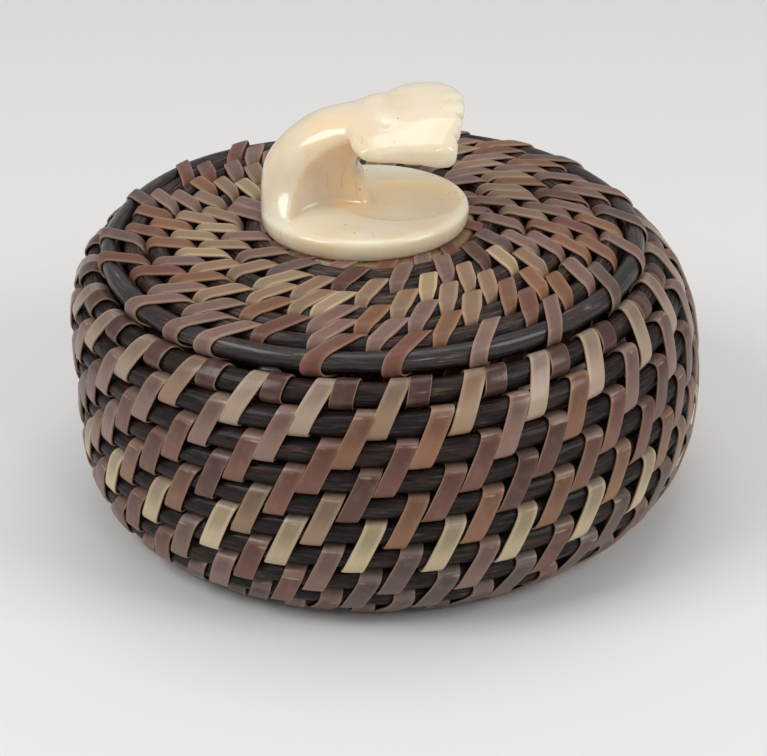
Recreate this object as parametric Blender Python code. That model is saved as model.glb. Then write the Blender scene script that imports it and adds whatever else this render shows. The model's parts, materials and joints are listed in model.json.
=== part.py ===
"""Small lidded basket of coiled baleen with a carved ivory finial.

The foundation is round baleen rod, coiled outwards from a pierced ivory disc into a body and
a lid. The rod is spliced from lengths of about one round, and each length is its own object.
A round runs level and climbs to the next one in a short stretch at the back. The lid lies on
the strip that binds the rim, and two coils under it drop inside the mouth.
"""

import bisect
import math

import bmesh
import bpy
from mathutils import Vector

MM = 0.001

# Body coil. Heights are above the centre of the foot's rod, and shares are of the belly's radius.
FLOOR_ROUNDS = 4
WALL_ROUNDS = 11
ROD_GAP = 0.78 * MM
BELLY_RADIUS = 43.3 * MM
BELLY_HEIGHT = 16.4 * MM
RIM_HEIGHT = 34.4 * MM
FOOT_SHARE = 0.688
MOUTH_SHARE = 0.921
BASE_DISC_SHARE = 0.298
BELLY_SHIFT = 0.86 * MM
MOUTH_SHIFT = -2.5 * MM
FOOT_SHIFT = -2.4 * MM
FLOOR_KICK_UP = 1.2 * MM
BELLY_SQUARENESS = 2.68
SHOULDER_SQUARENESS = 5.0
SHIFT_POWER = 3.0

# Lid coil
LID_ROUNDS = 6
LID_ROD_GAP = 0.45 * MM
LID_SET_IN = 2.4 * MM
LID_DOME_RISE = 2.2 * MM
LID_DOME_POWER = 2.5
FLANGE_ROUNDS = 2
FLANGE_SET_IN_ROUNDS = 1

# Strip that binds the rim, and the room that the strips take between lid and rim
STRIP_WIDTH = 2.6 * MM
STRIP_THICKNESS = 0.22 * MM
STRIP_CLEARANCE = 0.1 * MM
LID_STRIP_ROOM = 0.3 * MM
SEAT_CLEARANCE = 0.32 * MM
WRAP_SPACING = 8.6 * MM

# Pierced starter discs
LID_DISC_RADIUS = 14.7 * MM
DISC_THICKNESS = 2.0 * MM
DISC_COIL_GAP = 0.45 * MM
DISC_EDGE_BEVEL = 0.4 * MM
HOLE_DIAMETER = 1.5 * MM
HOLE_INSET = 2.2 * MM
HOLE_SPACING = 4.0 * MM

# Finial and its pegs
FINIAL_LENGTH = 29.7 * MM
FINIAL_DEPTH = 24.6 * MM
FINIAL_PLATE = 2.5 * MM
FINIAL_OFFSET = -1.0 * MM
FINIAL_SEAT_GAP = 0.3 * MM
PEG_DIAMETER = 2.2 * MM
PEG_CLEARANCE = 0.12 * MM
PEG_SPACING = 13.0 * MM
PEG_IN_FINIAL = 1.4 * MM
PEG_PROUD = 0.4 * MM

# How the coils are drawn
STEPS_PER_ROUND = 24
CLIMB_STEPS = 5
SIDES = 6
SPLICE_GAP = 0.3 * MM
BACK = math.radians(90)
TAPER = (0.3, 0.55, 0.8, 0.95)
POINTS_PER_WRAP = 8
PEG_SIDES = 16
HOLE_SIDES = 8
DISC_SIDES = 48
PLATE_SIDES = 40
TAIL_SIDES = 24
CUTTER_REACH = 1.0 * MM

class Profile:
    """A curve of radius and height that a coil follows, read by the length along it."""

    def __init__(self, points):
        self.points = [Vector(point) for point in points]
        self.lengths = [0.0]
        for before, after in zip(self.points, self.points[1:]):
            self.lengths.append(self.lengths[-1] + (after - before).length)

    def total(self):
        """Return the length of the whole curve."""
        return self.lengths[-1]

    def at(self, length):
        """Return the point and the unit tangent at a length, going straight on past the ends."""
        index = bisect.bisect_right(self.lengths, length) - 1
        index = min(max(index, 0), len(self.points) - 2)
        span = self.points[index + 1] - self.points[index]
        share = (length - self.lengths[index]) / (self.lengths[index + 1] - self.lengths[index])
        return self.points[index] + span * share, span.normalized()


# The foot, the mouth and the lid's middle, which the functions below need
FOOT_RADIUS = BELLY_RADIUS * FOOT_SHARE
MOUTH_RADIUS = BELLY_RADIUS * MOUTH_SHARE
LID_CENTRE = BELLY_SHIFT + MOUTH_SHIFT


def wall_points(count=80):
    """Return the wall's curve from the foot round the belly to the mouth."""
    points = []
    for i in range(count):
        angle = math.pi / 2 * i / (count - 1)
        out = max(math.sin(angle), 0.0) ** (2 / BELLY_SQUARENESS)
        down = max(math.cos(angle), 0.0) ** (2 / BELLY_SQUARENESS)
        points.append((FOOT_RADIUS + (BELLY_RADIUS - FOOT_RADIUS) * out,
                       BELLY_HEIGHT * (1 - down)))
    for i in range(1, count):
        share = i / (count - 1)
        points.append((BELLY_RADIUS - (BELLY_RADIUS - MOUTH_RADIUS) * share ** SHOULDER_SQUARENESS,
                       BELLY_HEIGHT + (RIM_HEIGHT - BELLY_HEIGHT) * share))
    return points


# Body coil, derived
BASE_DISC_RADIUS = BELLY_RADIUS * BASE_DISC_SHARE
WALL_LENGTH = Profile(wall_points()).total()
WALL_PITCH = WALL_LENGTH / WALL_ROUNDS
ROD_RADIUS = (WALL_PITCH - ROD_GAP) / 2
FLAT_TO_CENTRE = math.cos(math.pi / SIDES)
FOOT_CENTRE = ROD_RADIUS * FLAT_TO_CENTRE
FIRST_RADIUS = BASE_DISC_RADIUS + DISC_COIL_GAP + ROD_RADIUS

# Lid coil, derived
LID_EDGE_RADIUS = MOUTH_RADIUS - LID_SET_IN
LID_PITCH = ((LID_EDGE_RADIUS - LID_DISC_RADIUS - DISC_COIL_GAP + LID_ROD_GAP / 2)
             / (LID_ROUNDS + 0.5))
LID_ROD_RADIUS = (LID_PITCH - LID_ROD_GAP) / 2
LID_FIRST_RADIUS = LID_DISC_RADIUS + DISC_COIL_GAP + LID_ROD_RADIUS
BINDING_RADIUS = (ROD_RADIUS + STRIP_CLEARANCE + STRIP_THICKNESS / 2) / math.cos(
    math.pi / POINTS_PER_WRAP)
SEAT_DISTANCE = (BINDING_RADIUS + STRIP_THICKNESS / 2 + SEAT_CLEARANCE + LID_STRIP_ROOM
                 + LID_ROD_RADIUS)
LID_EDGE_HEIGHT = FOOT_CENTRE + RIM_HEIGHT + math.sqrt(SEAT_DISTANCE ** 2 - LID_SET_IN ** 2)


def floor_points(count=40):
    """Return the floor's curve, a little kicked up in the middle and level at the foot."""
    points = []
    for i in range(count):
        radius = FIRST_RADIUS + (FOOT_RADIUS - FIRST_RADIUS) * i / (count - 1)
        points.append((radius, FLOOR_KICK_UP * (1 - (radius / FOOT_RADIUS) ** 2) ** 2))
    return points


def body_profile():
    """Return the profile of the floor and the wall, raised so that the foot stands on zero."""
    points = floor_points() + wall_points()[1:]
    return Profile([(radius, FOOT_CENTRE + height) for radius, height in points])


def lid_height(radius):
    """Return the height of the lid's rod centres at a radius."""
    return LID_EDGE_HEIGHT + LID_DOME_RISE * (1 - (radius / LID_EDGE_RADIUS) ** LID_DOME_POWER)


def lid_points(count=60):
    """Return the lid's curve from the first round at the disc out to the edge."""
    points = []
    for i in range(count):
        radius = LID_FIRST_RADIUS + (LID_EDGE_RADIUS - LID_FIRST_RADIUS) * i / (count - 1)
        points.append((radius, lid_height(radius)))
    return points


def even_rounds(start, length, count):
    """Return where each of a number of rounds starts and the last one ends, along a length."""
    return [start + length * i / count for i in range(count + 1)]


def body_centre(height):
    """Return the centre of the body's round at a height, drawn aside at foot and mouth."""
    share = min(max((height - FOOT_CENTRE) / RIM_HEIGHT, 0.0), 1.0)
    shift = MOUTH_SHIFT * share ** SHIFT_POWER + FOOT_SHIFT * (1 - share) ** SHIFT_POWER
    return BELLY_SHIFT + shift


def lid_centre(height):
    """Return the centre of the lid's rounds, which is the mouth's centre."""
    return LID_CENTRE


def smooth(share):
    """Ease a share from 0 to 1."""
    return share * share * (3 - 2 * share)


class Station:
    """One cross-section of a rod: its centre, its two axes and its radius."""

    def __init__(self, profile, length, azimuth, radius, centre):
        (reach, height), (out, up) = profile.at(length)
        outward = Vector((math.cos(azimuth), math.sin(azimuth), 0))
        self.centre = outward * reach + Vector((centre(height), 0, height))
        self.along = outward * out + Vector((0, 0, up))
        self.across = outward * up - Vector((0, 0, out))
        self.radius = radius

    def ring(self, sides):
        """Return the points of the cross-section, with a corner facing each neighbour."""
        points = []
        for i in range(sides):
            angle = 2 * math.pi * i / sides
            spoke = self.along * math.cos(angle) + self.across * math.sin(angle)
            points.append(self.centre + spoke * self.radius)
        return points


def round_stations(profile, starts, index, turn, radius, centre):
    """Return the stations of one round: level, then climbing to the next at the back.

    The first round starts with a taper on the disc's edge. The last one ends in a taper that
    lies on the round before it.
    """
    step = 2 * math.pi / STEPS_PER_ROUND
    level_steps = STEPS_PER_ROUND - CLIMB_STEPS
    begin = BACK + turn * step * CLIMB_STEPS / 2
    last = index == len(starts) - 1
    stations = []
    for i in range(STEPS_PER_ROUND + 1):
        if last and i > level_steps + 2:
            break
        length = starts[index]
        fill = 1.0
        azimuth = begin + turn * step * i
        if last and i > level_steps - 2:
            fill = TAPER[level_steps + 2 - i]
        elif index == 0 and i < len(TAPER):
            fill = TAPER[i]
        if i > level_steps:
            climb = smooth((i - level_steps) / CLIMB_STEPS)
            pitch = starts[index] - starts[index - 1] if last else starts[index + 1] - length
            length += pitch * climb
        if not last and i == STEPS_PER_ROUND:
            azimuth -= turn * SPLICE_GAP / profile.at(length)[0][0]
        length -= (1 - fill) * radius
        stations.append(Station(profile, length, azimuth, radius * fill, centre))
    return stations


def coil_stations(profile, starts, turn, radius, centre):
    """Return the stations of every round of a coil."""
    return [round_stations(profile, starts, i, turn, radius, centre) for i in range(len(starts))]


def least_gap(rounds):
    """Return the least gap between two rounds, measured on the stations."""
    least = math.inf
    for i, inner in enumerate(rounds):
        for outer in rounds[i + 1:]:
            for a in inner:
                for b in outer:
                    if a is inner[-1] and b is outer[0]:
                        continue
                    least = min(least, (a.centre - b.centre).length - a.radius - b.radius)
    return least


def new_material(name, colour, roughness):
    """Return a material with a colour and a roughness."""
    material = bpy.data.materials.new(name)
    material.use_nodes = True
    shader = material.node_tree.nodes["Principled BSDF"]
    shader.inputs["Base Color"].default_value = (*colour, 1.0)
    shader.inputs["Roughness"].default_value = roughness
    shader.inputs["Metallic"].default_value = 0.0
    return material


def add_object(name, mesh, material, smooth_angle=35):
    """Put a mesh in the scene as a named object and shade its round faces smooth."""
    thing = bpy.data.objects.new(name, mesh)
    bpy.context.scene.collection.objects.link(thing)
    if material:
        mesh.materials.append(material)
        mesh.shade_smooth()
        mesh.set_sharp_from_angle(angle=math.radians(smooth_angle))
    return thing


def loft(name, rings):
    """Return a closed mesh through rings that have the same number of points."""
    bm = bmesh.new()
    rows = [[bm.verts.new(point) for point in ring] for ring in rings]
    count = len(rows[0])
    for near, far in zip(rows, rows[1:]):
        for i in range(count):
            j = (i + 1) % count
            bm.faces.new((near[i], near[j], far[j], far[i]))
    bm.faces.new(rows[0])
    bm.faces.new(rows[-1])
    bmesh.ops.recalc_face_normals(bm, faces=bm.faces)
    mesh = bpy.data.meshes.new(name)
    bm.to_mesh(mesh)
    bm.free()
    return mesh


def add_rod(name, stations, material):
    """Add one rod length as a closed tube."""
    return add_object(name, loft(name, [s.ring(SIDES) for s in stations]), material)


def add_binding(name, stations, material):
    """Add the strip that winds round the rim's rod and steps along it on its inner side."""
    reach = sum((b.centre - a.centre).length for a, b in zip(stations, stations[1:]))
    wraps = max(1, round(reach / WRAP_SPACING))
    places = []
    for i in range(wraps * POINTS_PER_WRAP + 1):
        wrap, point = divmod(i, POINTS_PER_WRAP)
        stepped = min(max(point - POINTS_PER_WRAP / 2 - 0.5, 0) / 3, 1)
        place = (wrap + stepped) / wraps * (len(stations) - 1)
        low = min(int(place), len(stations) - 2)
        share = place - low
        a, b = stations[low], stations[low + 1]
        angle = 2 * math.pi * (point + 0.5) / POINTS_PER_WRAP
        spoke_a = a.along * math.cos(angle) + a.across * math.sin(angle)
        spoke_b = b.along * math.cos(angle) + b.across * math.sin(angle)
        spoke = spoke_a.lerp(spoke_b, share).normalized()
        rod = (b.centre - a.centre).normalized()
        places.append((a.centre.lerp(b.centre, share), spoke, rod))
    rings = []
    for centre, spoke, rod in places:
        half_wide = rod * STRIP_WIDTH / 2
        half_thick = spoke * STRIP_THICKNESS / 2
        middle = centre + spoke * BINDING_RADIUS
        rings.append([middle - half_wide - half_thick, middle + half_wide - half_thick,
                      middle + half_wide + half_thick, middle - half_wide + half_thick])
    return add_object(name, loft(name, rings), material)


def cylinder_rings(radius, low, high, sides, centre=(0.0, 0.0)):
    """Return the two rings of an upright cylinder."""
    rings = []
    for height in (low, high):
        rings.append([Vector((centre[0] + radius * math.cos(2 * math.pi * i / sides),
                              centre[1] + radius * math.sin(2 * math.pi * i / sides), height))
                      for i in range(sides)])
    return rings


def cut(target, name, rings):
    """Cut a lofted shape out of an object, keeping the cutter as a hidden guide."""
    cutter = add_object(name, loft(name, rings), None)
    cutter.hide_render = True
    cutter.display_type = 'WIRE'
    modifier = target.modifiers.new(name, 'BOOLEAN')
    modifier.operation = 'DIFFERENCE'
    modifier.solver = 'EXACT'
    modifier.object = cutter
    return cutter


def peg_places():
    """Return the x and y of the two pegs that hold the finial."""
    middle = LID_CENTRE + FINIAL_OFFSET
    return [(middle - PEG_SPACING / 2, 0.0), (middle + PEG_SPACING / 2, 0.0)]


def add_disc(name, radius, middle_height, centre_x, pegs, material):
    """Add a starter disc, pierced near its edge for the first row of strips."""
    low = middle_height - DISC_THICKNESS / 2
    high = middle_height + DISC_THICKNESS / 2
    inner = radius - DISC_EDGE_BEVEL
    centre = (centre_x, 0.0)
    rings = (cylinder_rings(inner, low, low + DISC_EDGE_BEVEL, DISC_SIDES, centre)[:1]
             + cylinder_rings(radius, low + DISC_EDGE_BEVEL, high - DISC_EDGE_BEVEL,
                              DISC_SIDES, centre)
             + cylinder_rings(inner, high, high, DISC_SIDES, centre)[:1])
    disc = add_object(name, loft(name, rings), material)
    circle = radius - HOLE_INSET
    count = int(2 * math.pi * circle / HOLE_SPACING)
    for i in range(count):
        angle = 2 * math.pi * i / count
        place = (centre_x + circle * math.cos(angle), circle * math.sin(angle))
        cut(disc, f"{name}_hole_{i}",
            cylinder_rings(HOLE_DIAMETER / 2, low - CUTTER_REACH, high + CUTTER_REACH,
                           HOLE_SIDES, place))
    for i, place in enumerate(pegs):
        cut(disc, f"{name}_peg_hole_{i}",
            cylinder_rings(PEG_DIAMETER / 2 + PEG_CLEARANCE, low - CUTTER_REACH,
                           high + CUTTER_REACH, PEG_SIDES, place))
    return disc


class Slice:
    """One slice of the carved tail: its place, tilt, half sizes and squareness.

    Places and half sizes are shares of half the finial's length, measured from the middle of
    the plate's underside. The angle is the way the carving runs there, in degrees up from +X.
    """

    def __init__(self, x, y, z, angle, half_width, half_thickness, roll, squareness):
        self.numbers = (x, y, z, angle, half_width, half_thickness, roll, squareness)

    def mixed(self, other, share):
        """Return a slice between this one and another."""
        return Slice(*(a + (b - a) * share for a, b in zip(self.numbers, other.numbers)))

    def ring(self, size, count):
        """Return the points of the slice for a finial of a size."""
        x, y, z, angle, half_width, half_thickness, roll, squareness = self.numbers
        angle, roll = math.radians(angle), math.radians(roll)
        normal = Vector((-math.sin(angle), 0, math.cos(angle)))
        wide = Vector((0, math.cos(roll), 0)) + normal * math.sin(roll)
        thick = normal * math.cos(roll) - Vector((0, math.sin(roll), 0))
        points = []
        for i in range(count):
            turn = 2 * math.pi * i / count
            c, s = math.cos(turn), math.sin(turn)
            u = math.copysign(abs(c) ** (2 / squareness), c) * half_width
            v = math.copysign(abs(s) ** (2 / squareness), s) * half_thickness
            points.append((Vector((x, y, z)) + wide * u + thick * v) * size)
        return points


# The stock rises from the left of the plate, curls over to the right and spreads in two flukes.
TAIL = (
    Slice(-0.50, 0.16, 0.06, 90, 0.42, 0.49, 0, 2.2),
    Slice(-0.50, 0.17, 0.30, 90, 0.42, 0.50, 0, 2.2),
    Slice(-0.48, 0.17, 0.50, 85, 0.41, 0.50, 0, 2.2),
    Slice(-0.42, 0.17, 0.72, 68, 0.40, 0.42, 0, 2.2),
    Slice(-0.25, 0.17, 0.90, 38, 0.38, 0.29, 2, 2.3),
    Slice(0.00, 0.12, 1.02, 8, 0.36, 0.19, 4, 2.5),
    Slice(0.20, 0.10, 1.03, -4, 0.44, 0.15, 6, 3.0),
    Slice(0.45, 0.11, 1.00, -10, 0.52, 0.125, 7, 3.6),
    Slice(0.68, 0.12, 0.94, -16, 0.52, 0.11, 7, 3.6),
    Slice(0.86, 0.12, 0.88, -20, 0.50, 0.08, 6, 3.2),
)

# The hollow scooped out of the stock's front: its middle and half sizes, in the same shares
SCOOP_MIDDLE = (-0.34, -0.34, 0.47)
SCOOP_HALF_SIZE = (0.38, 0.37, 0.45)


def scoop_rings(size, count=20, rows=10):
    """Return the rings of the ellipsoid that hollows the stock's front."""
    middle = Vector(SCOOP_MIDDLE) * size
    wide, deep, tall = (half * size for half in SCOOP_HALF_SIZE)
    rings = []
    for row in range(rows):
        tilt = math.pi * (row + 0.5) / rows
        rings.append([middle + Vector((wide * math.sin(tilt) * math.cos(2 * math.pi * i / count),
                                       deep * math.sin(tilt) * math.sin(2 * math.pi * i / count),
                                       -tall * math.cos(tilt))) for i in range(count)])
    return rings


def plate_rings(count):
    """Return the rings of the finial's oval plate, round at the edge and dished on top."""
    outline = ((0.0, 0.86), (0.12, 0.95), (0.42, 1.0), (0.72, 0.985), (0.93, 0.94), (1.0, 0.86),
               (0.86, 0.66), (0.80, 0.3))
    rings = []
    for height, share in outline:
        rings.append([Vector((FINIAL_LENGTH / 2 * share * math.cos(2 * math.pi * i / count),
                              FINIAL_DEPTH / 2 * share * math.sin(2 * math.pi * i / count),
                              FINIAL_PLATE * height)) for i in range(count)])
    return rings


def moved(rings, offset):
    """Return rings moved by an offset."""
    return [[point + offset for point in ring] for ring in rings]


def add_finial(name, underside, material):
    """Add the finial: an oval plate with a tail carved out of the same piece."""
    place = Vector((LID_CENTRE + FINIAL_OFFSET, 0, underside))
    plate = loft(name, moved(plate_rings(PLATE_SIDES), place))
    finial = add_object(name, plate, material, 50)
    slices = [TAIL[0]]
    for before, after in zip(TAIL, TAIL[1:]):
        slices += [before.mixed(after, 0.5), after]
    rings = [piece.ring(FINIAL_LENGTH / 2, TAIL_SIDES) for piece in slices]
    tail = add_object(name + "_tail", loft(name + "_tail", moved(rings, place)), None)
    tail.hide_render = True
    tail.display_type = 'WIRE'
    cut(tail, name + "_scoop", moved(scoop_rings(FINIAL_LENGTH / 2), place))
    join = finial.modifiers.new("carved_in_one", 'BOOLEAN')
    join.operation = 'UNION'
    join.solver = 'EXACT'
    join.object = tail
    for i, hole in enumerate(peg_places()):
        cut(finial, f"{name}_peg_hole_{i}",
            cylinder_rings(PEG_DIAMETER / 2 + PEG_CLEARANCE, underside - CUTTER_REACH,
                           underside + PEG_IN_FINIAL + PEG_CLEARANCE, PEG_SIDES, hole))
    return finial


def clear_scene():
    """Remove every object of the scene."""
    for thing in list(bpy.data.objects):
        bpy.data.objects.remove(thing, do_unlink=True)


def build():
    """Build the basket and its lid."""
    clear_scene()
    baleen = new_material("dark_baleen", (0.035, 0.028, 0.030), 0.42)
    lid_baleen = new_material("lid_baleen", (0.050, 0.040, 0.042), 0.42)
    strip = new_material("brown_strip", (0.21, 0.13, 0.10), 0.38)
    ivory = new_material("ivory", (0.80, 0.70, 0.52), 0.25)
    peg = new_material("peg_baleen", (0.03, 0.025, 0.025), 0.5)

    profile = body_profile()
    floor_length = profile.total() - WALL_LENGTH
    starts = (even_rounds(0.0, floor_length, FLOOR_ROUNDS)[:-1]
              + even_rounds(floor_length, WALL_LENGTH, WALL_ROUNDS))
    body = coil_stations(profile, starts, 1, ROD_RADIUS, body_centre)
    print(f"least gap between body rounds {least_gap(body) / MM:.2f} mm")
    for i, stations in enumerate(body):
        if i < FLOOR_ROUNDS:
            name = f"floor_coil_{i + 1}"
        elif i == FLOOR_ROUNDS:
            name = "foot_coil"
        elif i < FLOOR_ROUNDS + WALL_ROUNDS:
            name = f"wall_coil_{i - FLOOR_ROUNDS:02d}"
        else:
            name = "rim_coil"
        add_rod(name, stations, baleen)
    add_binding("rim_binding", body[-1][1:STEPS_PER_ROUND - CLIMB_STEPS - 1], strip)
    base_height = profile.at(0.0)[0][1]
    add_disc("base_disc", BASE_DISC_RADIUS, base_height, body_centre(base_height), (), ivory)

    lid_profile = Profile(lid_points())
    lid_starts = even_rounds(0.0, lid_profile.total(), LID_ROUNDS)
    lid = coil_stations(lid_profile, lid_starts, -1, LID_ROD_RADIUS, lid_centre)
    print(f"least gap between lid rounds {least_gap(lid) / MM:.2f} mm")
    for i, stations in enumerate(lid):
        name = "lid_edge_coil" if i == len(lid) - 1 else f"lid_coil_{i + 1}"
        add_rod(name, stations, lid_baleen)
    over_flange = lid_profile.at(lid_starts[-1 - FLANGE_SET_IN_ROUNDS])[0]
    flange_profile = Profile([over_flange - Vector((0, LID_PITCH)),
                              over_flange - Vector((0, LID_PITCH * FLANGE_ROUNDS))])
    flange_starts = [LID_PITCH * i for i in range(FLANGE_ROUNDS)]
    flange = coil_stations(flange_profile, flange_starts, -1, LID_ROD_RADIUS, lid_centre)
    print(f"least gap between flange rounds {least_gap(flange) / MM:.2f} mm")
    for i, stations in enumerate(flange):
        add_rod(f"flange_coil_{i + 1}", stations, lid_baleen)
    disc_height = lid_height(LID_FIRST_RADIUS)
    add_disc("lid_disc", LID_DISC_RADIUS, disc_height, LID_CENTRE, peg_places(), ivory)
    underside = disc_height + DISC_THICKNESS / 2 + FINIAL_SEAT_GAP
    add_finial("finial", underside, ivory)
    for side, place in zip(("left", "right"), peg_places()):
        rings = cylinder_rings(PEG_DIAMETER / 2, disc_height - DISC_THICKNESS / 2 - PEG_PROUD,
                               underside + PEG_IN_FINIAL, PEG_SIDES, place)
        add_object(f"finial_peg_{side}", loft(f"finial_peg_{side}", rings), peg)


build()
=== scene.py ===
"""Looks of a small lidded basket of coiled baleen with a carved ivory finial.

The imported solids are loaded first. Each rod's solid is replaced by a finer rod, wound by the
same rule, and the flat strips that bind round to round, which have no solid, are laid out here
along the winding and placed by geometry nodes.
"""

import bisect
import json
import logging
import math
import random
from dataclasses import astuple, dataclass, field
from enum import Enum
from functools import cached_property
from typing import Any, Callable, Sequence

import bmesh
import bpy
from mathutils import Matrix, Vector

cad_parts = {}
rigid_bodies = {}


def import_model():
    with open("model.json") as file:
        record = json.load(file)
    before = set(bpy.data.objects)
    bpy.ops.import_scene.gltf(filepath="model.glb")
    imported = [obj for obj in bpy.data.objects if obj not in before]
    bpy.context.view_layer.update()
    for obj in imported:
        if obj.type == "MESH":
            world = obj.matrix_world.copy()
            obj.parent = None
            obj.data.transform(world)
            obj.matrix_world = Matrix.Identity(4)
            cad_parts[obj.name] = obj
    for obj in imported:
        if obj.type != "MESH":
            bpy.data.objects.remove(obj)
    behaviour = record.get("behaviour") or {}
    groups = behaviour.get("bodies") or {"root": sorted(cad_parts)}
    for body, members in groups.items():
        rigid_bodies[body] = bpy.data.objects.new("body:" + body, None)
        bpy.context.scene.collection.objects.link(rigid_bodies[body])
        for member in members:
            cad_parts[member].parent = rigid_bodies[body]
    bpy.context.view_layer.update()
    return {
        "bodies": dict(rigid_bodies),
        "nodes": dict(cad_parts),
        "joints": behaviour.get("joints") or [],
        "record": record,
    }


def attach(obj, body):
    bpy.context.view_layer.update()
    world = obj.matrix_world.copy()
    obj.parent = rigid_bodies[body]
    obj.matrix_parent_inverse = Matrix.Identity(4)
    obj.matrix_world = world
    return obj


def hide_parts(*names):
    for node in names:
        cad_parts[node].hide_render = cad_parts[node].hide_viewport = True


LOG = logging.getLogger("basket")
MM = 0.001

# Starter discs, as in the solids
DISC_THICKNESS = 2.0 * MM
DISC_COIL_GAP = 0.45 * MM
HOLE_INSET = 2.2 * MM

# How the coils climb, as in the solids: level for most of a turn, then on to the next round
LEVEL_SHARE = 19 / 24
BACK = math.radians(90)
HALF_CLIMB = math.radians(37.5)

# A rod's points round it and its rings in a turn, and the step in turns that tells its direction
ROD_SIDES = 14
ROD_STEPS = 120
DIRECTION_STEP = 0.004

# A strip's thickness and its room over the rod
STRIP_THICKNESS = 0.32 * MM
STRIP_ROOM = 0.04 * MM

# A strip's section, in shares of its width and thickness, and the share across it of each point
STRIP_SECTION = ((-0.5, 0.05), (-0.485, 0.36), (-0.42, 0.47), (-0.22, 0.52), (0.0, 0.54),
                 (0.22, 0.52), (0.42, 0.47), (0.485, 0.36), (0.5, 0.05), (0.49, -0.4),
                 (0.0, -0.46), (-0.49, -0.4))
STRIP_ACROSS = (0.0, 0.015, 0.08, 0.28, 0.5, 0.72, 0.92, 0.985, 1.0, 1.0, 0.5, 0.0, 0.0)
OUTER_STEPS = 27
INNER_STEPS = 6


def linear(code: str) -> tuple[float, float, float, float]:
    """Turn a hexadecimal screen colour into a linear one.

    Args:
        code: Six hexadecimal digits.

    Returns:
        Red, green, blue and alpha for a shader's socket.
    """
    parts = [int(code[i:i + 2], 16) / 255 for i in (0, 2, 4)]
    flat = [p / 12.92 if p <= 0.04045 else ((p + 0.055) / 1.055) ** 2.4 for p in parts]
    return (*flat, 1.0)


def per(size: float) -> float:
    """Return the scale, on Object coordinates, of a pattern with marks this many mm apart."""
    return 1 / (size * MM)


def hold(share: float) -> float:
    """Hold a share between 0 and 1."""
    return min(max(share, 0.0), 1.0)


def smooth(share: float) -> float:
    """Ease a share from 0 to 1, and hold it there outside that range."""
    share = hold(share)
    return share * share * (3 - 2 * share)


def squared(wave: float, power: float) -> float:
    """Return a sine or cosine raised to a power with its sign kept, which squares a round."""
    return math.copysign(abs(wave) ** power, wave)


def round_angles(count: int) -> list[float]:
    """Return evenly spaced angles of a full circle."""
    return [2 * math.pi * i / count for i in range(count)]


@dataclass(frozen=True)
class Profile:
    """A curve of radius and height that a coil follows, read by the length along it."""

    points: tuple[Vector, ...]
    lengths: tuple[float, ...]

    @classmethod
    def through(cls, points: Sequence[tuple[float, float]]) -> "Profile":
        """Make the profile through points.

        Args:
            points: Radius and height of each point.

        Returns:
            The profile.
        """
        spots = tuple(Vector(point) for point in points)
        lengths = [0.0]
        for before, after in zip(spots, spots[1:]):
            lengths.append(lengths[-1] + (after - before).length)
        return cls(spots, tuple(lengths))

    def total(self) -> float:
        """Return the length of the whole curve."""
        return self.lengths[-1]

    def at(self, length: float) -> tuple[Vector, Vector]:
        """Read the curve at a length, going straight on past its ends.

        Args:
            length: Length along the curve.

        Returns:
            The point and the unit tangent there.
        """
        index = bisect.bisect_right(self.lengths, length) - 1
        index = min(max(index, 0), len(self.points) - 2)
        span = self.points[index + 1] - self.points[index]
        share = (length - self.lengths[index]) / (self.lengths[index + 1] - self.lengths[index])
        return self.points[index] + span * share, span.normalized()


@dataclass(frozen=True)
class Winding:
    """A rod wound round and round along a profile, read by the turns wound so far."""

    profile: Profile
    starts: tuple[float, ...]
    turn: int
    centre: Callable[[float], float]
    rod_radius: float

    def length(self, turns: float) -> float:
        """Find how far along the profile the rod is.

        Args:
            turns: Turns wound so far. It may lie before the first or past the last round.

        Returns:
            The length along the profile.
        """
        index = min(math.floor(turns), len(self.starts) - 1)
        low = min(max(index, 0), len(self.starts) - 2)
        pitch = self.starts[low + 1] - self.starts[low]
        base = self.starts[0] + index * pitch if index < 0 else self.starts[index]
        return base + pitch * smooth((turns - index - LEVEL_SHARE) / (1 - LEVEL_SHARE))

    def azimuth(self, turns: float) -> float:
        """Return the angle round the basket at a number of turns."""
        return BACK + self.turn * (HALF_CLIMB + 2 * math.pi * turns)

    def radius(self, turns: float) -> float:
        """Return the distance from the axis at a number of turns."""
        return self.profile.at(self.length(turns))[0][0]

    def reach(self, turns: float) -> float:
        """Return the length of one turn there."""
        return 2 * math.pi * self.radius(turns)

    def place(self, turns: float) -> Vector:
        """Find the rod's centre.

        Args:
            turns: Turns wound so far.

        Returns:
            The centre.
        """
        (radius, height), _ = self.profile.at(self.length(turns))
        angle = self.azimuth(turns)
        return Vector((radius * math.cos(angle) + self.centre(height),
                       radius * math.sin(angle), height))

    def axes(self, turns: float) -> tuple[Vector, Vector]:
        """Find which way the profile runs there.

        Args:
            turns: Turns wound so far.

        Returns:
            The profile's own direction and the direction away from the basket.
        """
        _, (out, up) = self.profile.at(self.length(turns))
        angle = self.azimuth(turns)
        outward = Vector((math.cos(angle), math.sin(angle), 0))
        return outward * out + Vector((0, 0, up)), outward * up - Vector((0, 0, out))

    def travel(self, turns: float) -> Vector:
        """Return the small step that the rod makes there."""
        return self.place(turns + DIRECTION_STEP) - self.place(turns - DIRECTION_STEP)


def even_rounds(start: float, length: float, count: int) -> list[float]:
    """Return where each of a number of rounds starts and the last one ends, along a length."""
    return [start + length * i / count for i in range(count + 1)]


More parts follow.
